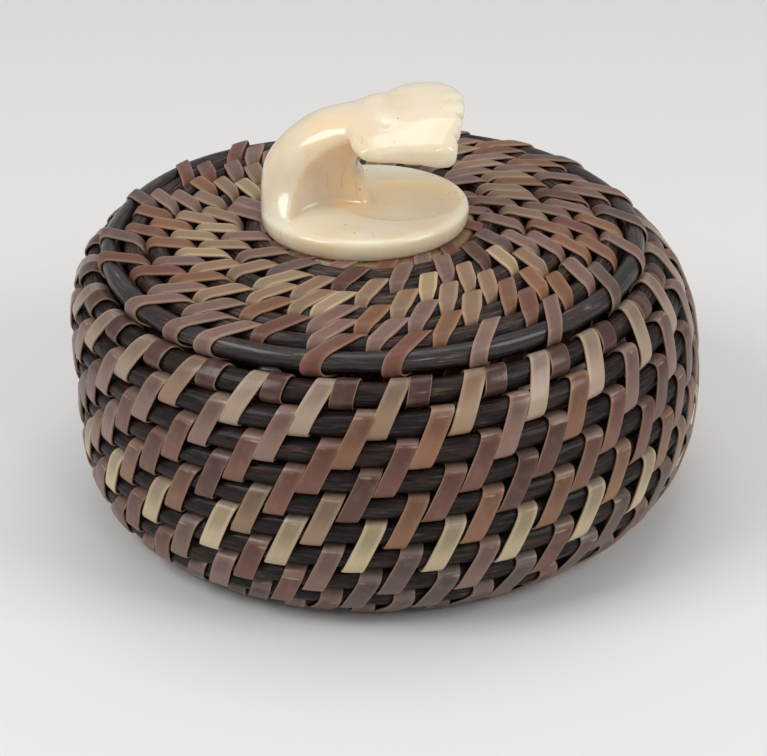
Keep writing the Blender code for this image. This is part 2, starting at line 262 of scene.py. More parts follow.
class Kind(Enum):
    """Kinds of node: type, settings, the inputs that plain values go to, and the output."""

    SHADER = ("ShaderNodeBsdfPrincipled",)
    SURFACE = ("ShaderNodeOutputMaterial",)
    BACKGROUND = ("ShaderNodeBackground",)
    SKY = ("ShaderNodeOutputWorld",)
    UV = ("ShaderNodeUVMap", {"uv_map": "UVMap"})
    PLACE = ("ShaderNodeTexCoord", {}, (), "Object")
    TINT = ("ShaderNodeAttribute", {}, (), "Color")
    SHARE = ("ShaderNodeAttribute", {}, (), "Fac")
    NOISE = ("ShaderNodeTexNoise",)
    CELLS = ("ShaderNodeTexVoronoi", {}, (), "Distance")
    CRACKS = ("ShaderNodeTexVoronoi", {"feature": "DISTANCE_TO_EDGE"}, (), "Distance")
    STRETCH = ("ShaderNodeMapping",)
    BUMP = ("ShaderNodeBump",)
    RAMP = ("ShaderNodeValToRGB",)
    LEVELS = ("ShaderNodeMapRange", {"interpolation_type": "SMOOTHSTEP"}, (0, 1, 2, 3, 4))
    MIX = ("ShaderNodeMix", {"data_type": "RGBA"}, (0, 6, 7), 2)
    PLUS = ("ShaderNodeMath", {"operation": "ADD"}, (0, 1))
    MINUS = ("ShaderNodeMath", {"operation": "SUBTRACT"}, (0, 1))
    TIMES = ("ShaderNodeMath", {"operation": "MULTIPLY"}, (0, 1))
    SIZE = ("ShaderNodeMath", {"operation": "ABSOLUTE"})
    PARTS = ("ShaderNodeSeparateXYZ",)
    JOINED = ("ShaderNodeCombineXYZ", {}, (0, 1, 2))
    SUM = ("ShaderNodeVectorMath", {"operation": "ADD"}, (0, 1))
    PRODUCT = ("ShaderNodeVectorMath", {"operation": "MULTIPLY"}, (0, 1))
    SCALED = ("ShaderNodeVectorMath", {"operation": "SCALE"}, (0, 3))
    GIVEN = ("NodeGroupInput",)
    RESULT = ("NodeGroupOutput",)
    OBJECT = ("GeometryNodeObjectInfo", {"transform_space": "ORIGINAL"}, (), "Geometry")
    CHANCE = ("FunctionNodeRandomValue", {"data_type": "FLOAT"}, (2, 3), 1)
    NUMBER = ("GeometryNodeInputNamedAttribute", {"data_type": "FLOAT"}, (0,), "Attribute")
    VECTOR = ("GeometryNodeInputNamedAttribute", {"data_type": "FLOAT_VECTOR"}, (0,), "Attribute")
    ON_POINTS = ("GeometryNodeInstanceOnPoints",)
    REAL = ("GeometryNodeRealizeInstances",)
    MOVED = ("GeometryNodeSetPosition",)
    DRESSED = ("GeometryNodeSetMaterial",)

    def __init__(self, type_name: str, settings: dict[str, str] | None = None,
                 places: tuple[int, ...] = (), output: int | str = 0) -> None:
        """Keep the kind's parts.

        Args:
            type_name: Blender's name of the node's type.
            settings: Settings that every node of the kind has.
            places: Numbers of the inputs that plain values go to. Without any it is the first.
            output: Name or number of the output that is read.
        """
        self.type_name = type_name
        self.settings = settings or {}
        self.places = places or (0,)
        self.output = output


@dataclass(frozen=True)
class Nodes:
    """Adds nodes to a tree."""

    tree: bpy.types.NodeTree

    def add(self, kind: Kind, *plain: Any, **named: Any) -> bpy.types.NodeSocket | None:
        """Add a node with its settings and links.

        Args:
            kind: The kind of node.
            *plain: A value or an output for each of the kind's inputs in turn.
            **named: The same for an input by its name, with underscores for spaces. A name in
                small letters is a setting of the node.

        Returns:
            The output that the kind names, or none where a tree ends.
        """
        node = self.tree.nodes.new(kind.type_name)
        settings = {name: value for name, value in named.items() if name.islower()}
        for name, value in {**kind.settings, **settings}.items():
            setattr(node, name, value)
        sockets = [(node.inputs[place], value) for place, value in zip(kind.places, plain)]
        sockets += [(node.inputs[name.replace("_", " ")], value)
                    for name, value in named.items() if name not in settings]
        for socket, value in sockets:
            if isinstance(value, bpy.types.NodeSocket):
                self.tree.links.new(value, socket)
            else:
                socket.default_value = value
        return node.outputs[kind.output] if node.outputs else None


@dataclass(frozen=True)
class Finish:
    """A finish made of shader nodes."""

    name: str
    roughness: float = 0.4
    coat: float = 0.0
    shine: float = 0.5
    coat_roughness: float = 0.2

    def material(self) -> bpy.types.Material:
        """Return the finish as a material, made on its first use."""
        found = bpy.data.materials.get(self.name)
        if found:
            return found
        material = bpy.data.materials.new(self.name)
        material.use_nodes = True
        material.node_tree.nodes.clear()
        nodes = Nodes(material.node_tree)
        inputs = {"Roughness": self.roughness, "Coat_Weight": self.coat,
                  "Coat_Roughness": self.coat_roughness, "Specular_IOR_Level": self.shine}
        inputs.update(self.surface(nodes))
        nodes.add(Kind.SURFACE, nodes.add(Kind.SHADER, **inputs))
        return material

    def surface(self, nodes: Nodes) -> dict[str, Any]:
        """Add the finish's own nodes and return what goes into the shader, by input."""
        raise NotImplementedError


@dataclass(frozen=True)
class Streaks:
    """Streaks that run along a rod: their length in millimetres, and how many lie round it."""

    length: float
    around: float
    detail: float

    def add(self, nodes: Nodes, spot: bpy.types.NodeSocket) -> bpy.types.NodeSocket:
        """Add noise that is stretched along the rod and return its value."""
        wide = nodes.add(Kind.PRODUCT, spot, (1 / self.length, self.around, 1.0))
        return nodes.add(Kind.NOISE, Vector=wide, Scale=1.0, Detail=self.detail, Roughness=0.62)


@dataclass(frozen=True)
class RodFinish(Finish):
    """Baleen rod, split and scraped round. Its UV runs along it in mm, and once round it.

    It looks near black with a satin sheen, streaked brown by fibres and flecked where they tore; its
    pale flecks are partly painted glints.
    The rod is about 11 mm round, so the fibres are 3.6 by 0.4 mm, which is as fine as shows,
    the bands 10 by 1.6 mm and the patches 6.3 by 5.5 mm.
    """

    dark: str = "080504"
    middle: str = "17100e"
    light: str = "392823"
    brown: str = "36201a"
    fleck_and_glint: str = "6a503f"
    fibres: Streaks = Streaks(3.5714, 26.0, 5.0)
    bands: Streaks = Streaks(10.0, 7.0, 3.0)
    patches: Streaks = Streaks(6.25, 2.0, 2.0)
    ridge: float = 0.36 * MM

    def surface(self, nodes: Nodes) -> dict[str, Any]:
        """Draw long fibres, patches of brown, a few pale flecks, partly where fibres tore and partly
        painted glints, and a ridged bump.
        """
        spot = nodes.add(Kind.UV)
        grain = self.fibres.add(nodes, spot)
        bands = self.bands.add(nodes, spot)
        patch = self.patches.add(nodes, spot)
        both = nodes.add(Kind.PLUS, nodes.add(Kind.TIMES, grain, 0.6),
                         nodes.add(Kind.TIMES, bands, 0.4))
        colour = nodes.add(Kind.RAMP, both)
        set_stops(colour, ((0.4, self.dark), (0.5, self.middle), (0.6, self.light)))
        colour = nodes.add(Kind.MIX, nodes.add(Kind.LEVELS, patch, 0.5, 0.7, 0.0, 0.5), colour,
                           linear(self.brown))
        # Pale flecks, partly where fibres tore and partly painted glints
        torn_and_glint = nodes.add(Kind.TIMES, nodes.add(Kind.LEVELS, bands, 0.6, 0.68),
                         nodes.add(Kind.LEVELS, grain, 0.5, 0.62))
        colour = nodes.add(Kind.MIX, nodes.add(Kind.TIMES, torn_and_glint, 0.8), colour,
                           linear(self.fleck_and_glint))
        rough = nodes.add(Kind.LEVELS, both, 0.38, 0.64, self.roughness + 0.14,
                          self.roughness - 0.1)
        bump = nodes.add(Kind.BUMP, Strength=1.0, Distance=self.ridge, Height=both)
        return {"Base_Color": colour, "Roughness": rough, "Normal": bump}


def set_stops(colour: bpy.types.NodeSocket, stops: Sequence[tuple[float, str]]) -> None:
    """Set the stops of a colour ramp.

    Args:
        colour: The ramp's colour output.
        stops: Place and screen colour of each stop.
    """
    elements = colour.node.color_ramp.elements
    while len(elements) < len(stops):
        elements.new(0.5)
    for element, (place, code) in zip(elements, stops):
        element.position = place
        element.color = linear(code)


@dataclass(frozen=True)
class StripFinish(Finish):
    """Split baleen strip, shaved flat. Its UV is the share across and along its outer side.

    It looks like dull horn, mauve to blond. Its middle is darker, painted shade of the groove
    between its rods, and its cut edges are pale, partly a painted highlight. Its eleven fibres
    are 0.3 mm wide, as fine as shows, and the blotches are 2.4 mm apart.
    """

    # Pale colour of the cut edges, partly a painted highlight where they catch the light
    edge: str = "a88e76"
    # Dark colour of the painted shade in the middle and of the fibres
    dark_shade_and_grain: str = "301811"
    bloom: str = "a08a78"
    # Colour of the painted highlight and sheen at the crease
    crease_sheen: str = "c4b0a0"
    crease: float = 0.0
    fibres_across: float = 11.0
    fibres_along: float = 1.4
    blotch_gap: float = 2.381
    strip_step: float = 91.0
    grain: float = 0.1 * MM

    def surface(self, nodes: Nodes) -> dict[str, Any]:
        """Draw the strip's tone with fibres, a middle darkened as painted shade, blotches and pale
        cut edges, partly a painted highlight.
        """
        tone = nodes.add(Kind.TINT, attribute_name="tone")
        chance = nodes.add(Kind.SHARE, attribute_name="chance")
        spot = nodes.add(Kind.PARTS, nodes.add(Kind.UV)).node.outputs
        wide, along = spot["X"], spot["Y"]
        place = nodes.add(Kind.JOINED,
                          nodes.add(Kind.PLUS, nodes.add(Kind.TIMES, wide, self.fibres_across),
                                    nodes.add(Kind.TIMES, chance, self.strip_step)),
                          nodes.add(Kind.TIMES, along, self.fibres_along))
        fibre = nodes.add(Kind.NOISE, Vector=place, Scale=1.0, Detail=4.0, Roughness=0.6)
        blotch = nodes.add(Kind.NOISE, Vector=nodes.add(Kind.PLACE), Scale=per(self.blotch_gap),
                           Detail=2.0)
        across = nodes.add(Kind.SIZE, nodes.add(Kind.MINUS, wide, 0.5))
        # Painted shade: the upper middle is darker, where the strip spans the groove between its
        # rods
        groove_shade = nodes.add(Kind.TIMES, nodes.add(Kind.LEVELS, along, 0.3, 0.72, 0.05, 0.5),
                          nodes.add(Kind.LEVELS, across, 0.22, 0.46, 1.0, 0.3))
        colour = nodes.add(Kind.MIX, groove_shade, tone, linear(self.dark_shade_and_grain))
        colour = nodes.add(Kind.MIX, nodes.add(Kind.LEVELS, fibre, 0.3, 0.7, 0.08, 0.0), colour,
                           linear(self.dark_shade_and_grain))
        colour = nodes.add(Kind.MIX, nodes.add(Kind.LEVELS, blotch, 0.48, 0.75, 0.0, 0.14),
                           colour, linear(self.bloom))
        # Painted highlight: a paler band over the crease and a bright line on it
        if self.crease:
            colour = nodes.add(Kind.MIX, self.crease_highlight(nodes, along, chance, blotch), colour,
                               linear(self.crease_sheen))
        # Pale cut edges, partly a painted highlight along them
        rim = nodes.add(Kind.LEVELS, across, 0.44, 0.5, 0.0, 0.6)
        rough = nodes.add(Kind.LEVELS, fibre, 0.3, 0.7, self.roughness - 0.06,
                          self.roughness + 0.14)
        height = nodes.add(Kind.PLUS, nodes.add(Kind.TIMES, fibre, 0.5),
                           nodes.add(Kind.TIMES, blotch, 0.5))
        bump = nodes.add(Kind.BUMP, Strength=0.2, Distance=self.grain, Height=height)
        return {"Base_Color": nodes.add(Kind.MIX, rim, colour, linear(self.edge)),
                "Roughness": rough, "Normal": bump}

    def crease_highlight(self, nodes: Nodes, along: bpy.types.NodeSocket, chance: bpy.types.NodeSocket,
             blotch: bpy.types.NodeSocket) -> bpy.types.NodeSocket:
        """Add a painted highlight: the paler end over the crease, where the strip bends inwards over
        its upper rod.

        Args:
            nodes: The material's nodes.
            along: Share along the strip's outer side.
            chance: The strip's own random number, which shifts its crease.
            blotch: Noise that breaks up the painted line on the crease.

        Returns:
            How strong the painted highlight is.
        """
        shift = nodes.add(Kind.TIMES, nodes.add(Kind.MINUS, chance, 0.5), 0.07)
        place = nodes.add(Kind.MINUS, nodes.add(Kind.PLUS, along, shift), self.crease)
        # Painted sheen over the crease, and a painted bright line along it
        over = nodes.add(Kind.LEVELS, place, -0.01, 0.05, 0.0, 0.16)
        line = nodes.add(Kind.LEVELS, nodes.add(Kind.SIZE, place), 0.0, 0.02, 1.0, 0.0)
        crease_sheen = nodes.add(Kind.TIMES, line, nodes.add(Kind.LEVELS, blotch, 0.42, 0.7, 0.0, 0.45))
        return nodes.add(Kind.PLUS, over, crease_sheen)


@dataclass(frozen=True)
class IvoryFinish(Finish):
    """Old ivory, carved and polished: cream and glossy, with light passing under its skin.

    It is tan in its hollows, partly its own tan and partly painted shade, with clouds 6 mm wide,
    brown specks 1.6 mm apart in patches of 4 mm, and hairline cracks that run up it, 9 to 11 mm
    apart.
    """

    cream: str = "e6d8c0"
    cloud: str = "dbc39b"
    # Tan of the hollows, partly the ivory's own and partly painted shade
    tan: str = "f6d3a2"
    speck: str = "84643f"
    crack: str = "a07c50"
    cloud_gap: float = 6.25
    speck_gap: float = 1.613
    patch_gap: float = 4.167
    crack_gaps: tuple[float, float, float] = (9.091, 11.11, 71.43)
    glow: float = 0.8
    glow_depth: float = 6.0 * MM
    glow_tint: tuple[float, float, float] = (1.0, 0.7, 0.45)
    wave: float = 0.3 * MM

    def surface(self, nodes: Nodes) -> dict[str, Any]:
        """Draw cream with soft clouds, tan hollows that are partly painted shade, small brown specks
        and fine cracks.
        """
        hollow = nodes.add(Kind.SHARE, attribute_name="hollow")
        place = nodes.add(Kind.PLACE)
        cloud = nodes.add(Kind.NOISE, Vector=place, Scale=per(self.cloud_gap), Detail=3.0)
        speck = nodes.add(Kind.CELLS, Vector=place, Scale=per(self.speck_gap))
        patch = nodes.add(Kind.NOISE, Vector=place, Scale=per(self.patch_gap), Detail=1.0)
        colour = nodes.add(Kind.MIX, nodes.add(Kind.LEVELS, cloud, 0.4, 0.7, 0.0, 0.5),
                           linear(self.cream), linear(self.cloud))
        # Tan in the hollows: partly the ivory's own tan, partly painted shade
        soft = nodes.add(Kind.TIMES, hollow,
                         nodes.add(Kind.LEVELS, cloud, 0.3, 0.65, 0.75, 1.0))
        colour = nodes.add(Kind.MIX, soft, colour, linear(self.tan))
        dots = nodes.add(Kind.TIMES, nodes.add(Kind.LEVELS, speck, 0.07, 0.16, 1.0, 0.0),
                         nodes.add(Kind.LEVELS, patch, 0.52, 0.62, 0.0, 0.5))
        colour = nodes.add(Kind.MIX, dots, colour, linear(self.speck))
        tall = nodes.add(Kind.STRETCH, place, Scale=tuple(per(gap) for gap in self.crack_gaps))
        crack = nodes.add(Kind.CRACKS, Vector=tall, Scale=1.0)
        split = nodes.add(Kind.TIMES, nodes.add(Kind.LEVELS, crack, 0.0, 0.008, 1.0, 0.0),
                          nodes.add(Kind.LEVELS, patch, 0.5, 0.6, 0.0, 0.22))
        bump = nodes.add(Kind.BUMP, Strength=0.12, Distance=self.wave, Height=cloud)
        return {"Base_Color": nodes.add(Kind.MIX, split, colour, linear(self.crack)),
                "Normal": bump, "Subsurface_Weight": self.glow,
                "Subsurface_Radius": self.glow_tint, "Subsurface_Scale": self.glow_depth}


@dataclass(frozen=True)
class PegFinish(Finish):
    """Whittled baleen of the finial's pegs: near black and satin, its grain 1.1 mm apart."""

    dark: str = "15110f"
    light: str = "3a2d29"
    grain_gap: float = 1.111

    def surface(self, nodes: Nodes) -> dict[str, Any]:
        """Draw a fine grain."""
        grain = nodes.add(Kind.NOISE, Vector=nodes.add(Kind.PLACE), Scale=per(self.grain_gap),
                          Detail=3.0)
        colour = nodes.add(Kind.RAMP, grain)
        set_stops(colour, ((0.35, self.dark), (0.7, self.light)))
        return {"Base_Color": colour}


@dataclass(frozen=True)
class FloorFinish(Finish):
    """Matt pale board of the studio floor, with the faintest mottle 125 mm apart."""

    pale: str = "e2e1df"
    mottled: str = "d4d2cf"
    mottle_gap: float = 125.0

    def surface(self, nodes: Nodes) -> dict[str, Any]:
        """Give the floor one even colour with its mottle."""
        mottle = nodes.add(Kind.NOISE, Vector=nodes.add(Kind.PLACE), Scale=per(self.mottle_gap))
        share = nodes.add(Kind.LEVELS, mottle, 0.3, 0.7, 0.0, 0.04)
        return {"Base_Color": nodes.add(Kind.MIX, share, linear(self.pale),
                                        linear(self.mottled))}


# Rods of the body and of the lid, and the lid's outermost one, which hands have polished. Their pale
# flecks are partly painted glints, palest on the outermost rod.
BODY_ROD = RodFinish("scraped_baleen_body_rod", 0.44, coat=0.12, coat_roughness=0.16,
                     shine=0.18)
LID_ROD = RodFinish("scraped_baleen_lid_rod", 0.42, coat=0.1, coat_roughness=0.16, shine=0.26,
                    middle="211613", light="533c33")
EDGE_ROD = RodFinish("polished_baleen_edge_rod", 0.3, coat=0.5, coat_roughness=0.14, shine=0.3,
                     middle="170f0e", light="3a2925", fleck_and_glint="8a7468")

# Strips of the wall, which have a painted highlight at their crease, and of the lid
WALL_STRIP = StripFinish("split_baleen_wall_strip", 0.38, coat=0.25, coat_roughness=0.16,
                         shine=0.3, crease=0.83)
LID_STRIP = StripFinish("split_baleen_lid_strip", 0.38, shine=0.3)

# The carving, and the starter discs, which are stained by handling
IVORY = IvoryFinish("polished_old_ivory", 0.24, coat=0.6, coat_roughness=0.06)
DISC_IVORY = IvoryFinish("stained_ivory", 0.35, cream="8e7350", cloud="7a5f42")
PEG = PegFinish("whittled_baleen_peg", 0.5)
FLOOR = FloorFinish("matt_pale_board", 0.7)


def new_object(name: str, mesh: bpy.types.Mesh, finish: Finish | None = None,
               smooth_angle: float = 40.0) -> bpy.types.Object:
    """Put a mesh in the scene as an object.

    Args:
        name: The object's name.
        mesh: Its mesh.
        finish: Its finish, or none if it gets none.
        smooth_angle: Edges bent by more than this many degrees stay sharp.

    Returns:
        The object.
    """
    thing = bpy.data.objects.new(name, mesh)
    bpy.context.scene.collection.objects.link(thing)
    if finish:
        mesh.materials.append(finish.material())
    mesh.shade_smooth()
    mesh.set_sharp_from_angle(angle=math.radians(smooth_angle))
    return thing


def tube(name: str, rings: Sequence[Sequence[Vector]], along: Sequence[float] | None = None,
         closed: bool = False, across: Sequence[float] | None = None) -> bpy.types.Mesh:
    """Skin a mesh over rings of points, with a UV map.

    Args:
        name: The mesh's name.
        rings: Points of each ring, all with the same count.
        along: The second UV coordinate of each ring, with one more for a closed mesh. None
            leaves it at 0.
        closed: Whether the last ring joins the first.
        across: The first UV coordinate of each point of a ring, with one more for the seam.
            None spreads it evenly.

    Returns:
        The mesh, facing out.
    """
    count = len(rings[0])
    rows = along or [0.0] * len(rings)
    around = across or [i / count for i in range(count + 1)]
    faces = []
    coordinates = []
    for r in range(len(rings) if closed else len(rings) - 1):
        near, far = r * count, (r + 1) % len(rings) * count
        for i in range(count):
            j = (i + 1) % count
            faces.append((near + i, near + j, far + j, far + i))
            coordinates += [(around[i], rows[r]), (around[i + 1], rows[r]),
                            (around[i + 1], rows[r + 1]), (around[i], rows[r + 1])]
    if not closed:
        for start, row in ((0, rows[0]), ((len(rings) - 1) * count, rows[-1])):
            faces.append(tuple(start + i for i in range(count)))
            coordinates += [(around[i], row) for i in range(count)]
    mesh = bpy.data.meshes.new(name)
    mesh.from_pydata([point for ring in rings for point in ring], [], faces)
    layer = mesh.uv_layers.new(name="UVMap")
    layer.data.foreach_set("uv", [value for pair in coordinates for value in pair])
    face_out(mesh)
    return mesh


def face_out(mesh: bpy.types.Mesh) -> None:
    """Turn every face of a closed mesh to the outside.

    Args:
        mesh: The mesh.
    """
    bm = bmesh.new()
    bm.from_mesh(mesh)
    bmesh.ops.recalc_face_normals(bm, faces=bm.faces)
    bm.to_mesh(mesh)
    bm.free()


def run_along(mesh: bpy.types.Mesh, along: Sequence[float]) -> None:
    """Make a rod's UV run along it first, in millimetres, and round it second.

    Args:
        mesh: The rod's mesh, skinned over rings.
        along: Millimetres along the rod at each ring.
    """
    layer = mesh.uv_layers["UVMap"]
    for loop in mesh.loops:
        spot = layer.data[loop.index]
        spot.uv = (along[loop.vertex_index // ROD_SIDES], spot.uv[0])


def store(mesh: bpy.types.Mesh, name: str, values: Sequence[float]) -> None:
    """Store a number for each point of a mesh."""
    layer = mesh.attributes.new(name, "FLOAT", "POINT")
    layer.data.foreach_set("value", values)


def evaluated_mesh(thing: bpy.types.Object) -> bpy.types.Mesh:
    """Replace an object's mesh by what its modifiers make of it.

    Args:
        thing: The object, whose modifiers are removed.

    Returns:
        The new mesh.
    """
    bpy.context.view_layer.update()
    graph = bpy.context.evaluated_depsgraph_get()
    mesh = bpy.data.meshes.new_from_object(thing.evaluated_get(graph),
                                           preserve_all_data_layers=True, depsgraph=graph)
    thing.modifiers.clear()
    thing.data = mesh
    return mesh


@dataclass(frozen=True)
class RodCoil:
    """The rods of one coil, a piece for each length between splices."""

    winding: Winding
    nodes: tuple[str, ...]
    finish: Finish
    last_finish: Finish
    body: str
    material_slot: str
    taper_turns: float = 0.16
    taper_lead: float = 0.04
    thin: float = 0.28
    wobble: float = 0.06 * MM
    wobble_sides: int = 3
    wobble_turns: float = 41
    wobble_shift: float = 1.7
    splice_gap: float = 0.25 * MM
    smooth_angle: float = 50

    def ring(self, turns: float, fill: float, seed: float) -> list[Vector]:
        """Lay out the rod's section.

        Args:
            turns: Turns wound so far.
            fill: Share of the full radius. What is lost is lost on the upper side.
            seed: Shift of the wobble.

        Returns:
            The section's points.
        """
        full = self.winding.rod_radius
        along, across = self.winding.axes(turns)
        centre = self.winding.place(turns) - along * ((1 - fill) * full)
        points = []
        for angle in round_angles(ROD_SIDES):
            wave = math.sin(self.wobble_sides * angle + self.wobble_turns * turns + seed)
            spoke = along * math.cos(angle) + across * math.sin(angle)
            points.append(centre + spoke * (full * fill + self.wobble * wave))
        return points

    def fill(self, index: int, share: float) -> float:
        """Find how full the rod is, tapered at the coil's two ends.

        Args:
            index: Number of the rod.
            share: Share of its turn.

        Returns:
            Share of the full radius.
        """
        last = index == len(self.nodes) - 1
        start = LEVEL_SHARE - self.taper_lead
        if last and share > start:
            return 1 - (1 - self.thin) * smooth((share - start) / self.taper_turns)
        if index == 0 and share < self.taper_turns:
            return self.thin + (1 - self.thin) * smooth(share / self.taper_turns)
        return 1.0

    def build(self) -> list[bpy.types.Object]:
        """Build each rod in place of its solid and return the rods."""
        rods = []
        for index, node in enumerate(self.nodes):
            last = index == len(self.nodes) - 1
            end = LEVEL_SHARE + self.taper_turns - self.taper_lead if last else 1.0
            count = round(ROD_STEPS * end)
            rings = []
            along = []
            for i in range(count + 1):
                share = end * i / count
                if not last:
                    share = min(share, 1 - self.splice_gap / self.winding.reach(index + 1))
                rings.append(self.ring(index + share, self.fill(index, share),
                                       index * self.wobble_shift))
                along.append((index + share) * self.winding.reach(index + share) / MM)
            mesh = tube(f"rod_{node}", rings)
            run_along(mesh, along)
            rod = new_object(f"rod_{node}", mesh, self.last_finish if last else self.finish,
                             self.smooth_angle)
            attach(rod, self.body)
            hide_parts(node)
            rods.append(rod)
        return rods


@dataclass
class Stitch:
    """One strip: the turns at which its two ends lie on their rods."""

    low: float
    high: float


@dataclass
class Layout:
    """Lays the strips out along a winding so that those on one rod lie side by side.

    Counts are the strips in a round, each with the turns at which it holds. The two slants are
    how far a strip leans over at the first and at the last round. Narrow is the share of the
    width that a strip has at the disc, where the rounds are small.
    """

    winding: Winding
    counts: tuple[tuple[float, float], ...]
    width: float
    slant: tuple[float, float]
    seed: int
    last: float
    jitter: float = 0.2
    narrow: float = 1.0
    phase: float = 0.0
    beside: float = 1.06
    closest: float = 1.03
    pushed: float = 0.3
    lean_jitter: float = 0.4
    even_passes: int = 140
    evening: float = 0.25
    last_passes: int = 30
    righting: float = 0.2
    stitches: list[Stitch] = field(default_factory=list)

    def wanted(self, turns: float) -> float:
        """Find how many strips a round should have.

        Args:
            turns: Turns wound so far.

        Returns:
            The number of strips, between two of the counts.
        """
        for (a, low), (b, high) in zip(self.counts, self.counts[1:]):
            if turns <= b:
                return low + (high - low) * hold((turns - a) / (b - a))
        return self.counts[-1][1]

    def lean(self, turns: float) -> float:
        """Return how far a strip leans over there, in turns."""
        share = hold(turns / self.last)
        slant = self.slant[0] + (self.slant[1] - self.slant[0]) * share * share
        return slant / self.winding.reach(turns)

    def wide(self, turns: float) -> float:
        """Return the width of a strip there, in turns."""
        return self.width * self.room(turns) / self.winding.reach(turns)

    def room(self, turns: float) -> float:
        """Return the share of the full width that a strip has there."""
        return self.narrow + (1 - self.narrow) * hold(turns / self.last)

    def plan(self) -> list[Stitch]:
        """Return the strips, each beside one of the round before, as a weaver sets them."""
        turns = 0.0
        while turns < 1:
            self.add(turns - 1 - self.lean(turns), turns)
            turns += 1 / self.wanted(turns)
        place = 0
        owed = 0.0
        while self.stitches[place].high + 1 <= self.last:
            here, after = self.stitches[place].high, self.stitches[place + 1].high
            wanted = 1 / self.wanted(here + 1)
            owed += (after - here) / wanted - 1
            changing = abs(self.wanted(here + 1) - self.wanted(here)) > 0.01
            number = 1
            if changing and abs(owed) > 0.5:
                number = 2 if owed > 0 else 0
                owed -= number - 1
            for k in range(number):
                low = here + self.beside * self.wide(here) + k * (after - here) / number
                self.add(low, low + 1 + self.lean(low + 1))
            place += 1
        self.settle()
        return self.stitches

    def add(self, low: float, high: float) -> None:
        """Add a strip, keeping the upper ends in order."""
        if self.stitches and high <= self.stitches[-1].high:
            high = self.stitches[-1].high + self.pushed * self.wide(high)
        self.stitches.append(Stitch(low, high))

    def settle(self) -> None:
        """Space the strips evenly, then move each a little as a hand would."""
        chance = random.Random(self.seed)
        self.relax(self.even_passes, self.evening)
        for stitch in self.stitches:
            spread = self.jitter * self.wide(stitch.high)
            shift = self.phase + chance.uniform(-1, 1) * spread
            stitch.low += shift
            stitch.high += shift
            lean = chance.uniform(-self.lean_jitter, self.lean_jitter)
            stitch.high += lean * self.jitter * self.wide(stitch.high - shift)
        self.relax(self.last_passes, 0.0)

    def relax(self, passes: int, evening: float) -> None:
        """Push strips that share a rod apart, while each keeps near its own slant.

        Args:
            passes: Number of times to go over the strips.
            evening: Share of the way that a strip goes to the middle of its neighbours.
        """
        place = [[stitch.low, stitch.high] for stitch in self.stitches]
        ends = sorted((turns, i, k) for i, pair in enumerate(place)
                      for k, turns in enumerate(pair))
        width = {(i, k): self.closest * self.wide(turns) for turns, i, k in ends}
        lean = [self.lean(high) for _, high in place]
        for _ in range(passes):
            for i in range(1, len(place) - 1):
                shift = (place[i - 1][1] + place[i + 1][1]) / 2 - place[i][1]
                place[i][0] += evening * shift
                place[i][1] += evening * shift
            for (_, i, a), (_, j, b) in zip(ends, ends[1:]):
                short = width[i, a] - (place[j][b] - place[i][a])
                if i != j and short > 0:
                    place[i][a] -= short / 2
                    place[j][b] += short / 2
            for i, (low, high) in enumerate(place):
                wrong = high - low - 1 - lean[i]
                place[i][0] += self.righting * wrong
                place[i][1] -= self.righting * wrong
        for stitch, (low, high) in zip(self.stitches, place):
            stitch.low, stitch.high = low, high


@dataclass(frozen=True)
class Bend:
    """How a strip goes round its rods.

    Squareness is how square it bends and crown how far it stands proud. Pinch is how much
    narrower it is at its ends, and swell how much wider all along.
    """

    squareness: float
    crown: float
    pinch: float = 0.0
    swell: float = 1.0

    def outer(self, tall: float, reach: float) -> list[tuple[float, float]]:
        """Lay out the outer side of the loop, from its lower to its upper end.

        Args:
            tall: Half the loop's height.
            reach: Distance from the rods' middle line to the strip over a rod.

        Returns:
            Distance outwards and height of each point.
        """
        spots = []
        for i in range(OUTER_STEPS):
            turn = -math.pi / 2 + math.pi * i / (OUTER_STEPS - 1)
            out = max(math.cos(turn), 0.0) ** (2 / self.squareness)
            up = squared(math.sin(turn), 2 / self.squareness)
            spots.append(((reach + self.crown) * out, tall * up))
        return spots


WALL_BEND = Bend(3.9, 0.04 * MM)
RIM_BEND = Bend(2.8, 0.05 * MM)
LID_BEND = Bend(2.15, 1.0 * MM, 0.5, 1.18)
EDGE_BEND = Bend(2.6, 0.35 * MM, 0.12)


def strip_loop(name: str, pitch: float, radius: float, width: float,
               bend: Bend) -> bpy.types.Object:
    """Bend a strip round two rods, or round one, as a pattern to be set on points.

    Args:
        name: Name of the pattern.
        pitch: Distance between the two rods' centres, or 0 for one rod.
        radius: Radius of the rods.
        width: Width of the strip.
        bend: How the strip goes round them.

    Returns:
        The pattern. X runs along the rods, Y away from the basket and Z from rod to rod.
    """
    reach = radius + STRIP_ROOM + STRIP_THICKNESS / 2
    tall = pitch / 2 + reach
    inner = [(-reach * math.sin(turn), pitch / 2 + reach * math.cos(turn))
             for turn in (math.pi / 2 * i / INNER_STEPS for i in range(1, INNER_STEPS + 1))]
    spots = bend.outer(tall, reach) + inner + [(out, -up) for out, up in reversed(inner)]
    rings = []
    for i, spot in enumerate(spots):
        before, after = spots[i - 1], spots[(i + 1) % len(spots)]
        way = Vector((after[0] - before[0], after[1] - before[1])).normalized()
        narrow = bend.swell * (1 - bend.pinch * (spot[1] / tall) ** 2)
        rings.append([Vector((x * width * narrow, spot[0] + way.y * t * STRIP_THICKNESS,
                              spot[1] - way.x * t * STRIP_THICKNESS))
                      for x, t in STRIP_SECTION])
    steps = [math.dist(a, b) for a, b in zip(spots, spots[1:] + spots[:1])]
    outside = sum(steps[:OUTER_STEPS - 1])
    along = [sum(steps[:i]) / outside for i in range(len(steps) + 1)]
    mesh = tube(name, rings, along, True, STRIP_ACROSS)
    store(mesh, "rise", [up / max(pitch, MM) for _, up in spots for _ in STRIP_SECTION])
    store(mesh, "front", [(1 - (up / tall) ** 2) if out > 0 else 0.0
                          for out, up in spots for _ in STRIP_SECTION])
    mesh.shade_smooth()
    mesh.set_sharp_from_angle(angle=math.radians(35))
    return bpy.data.objects.new(name, mesh)


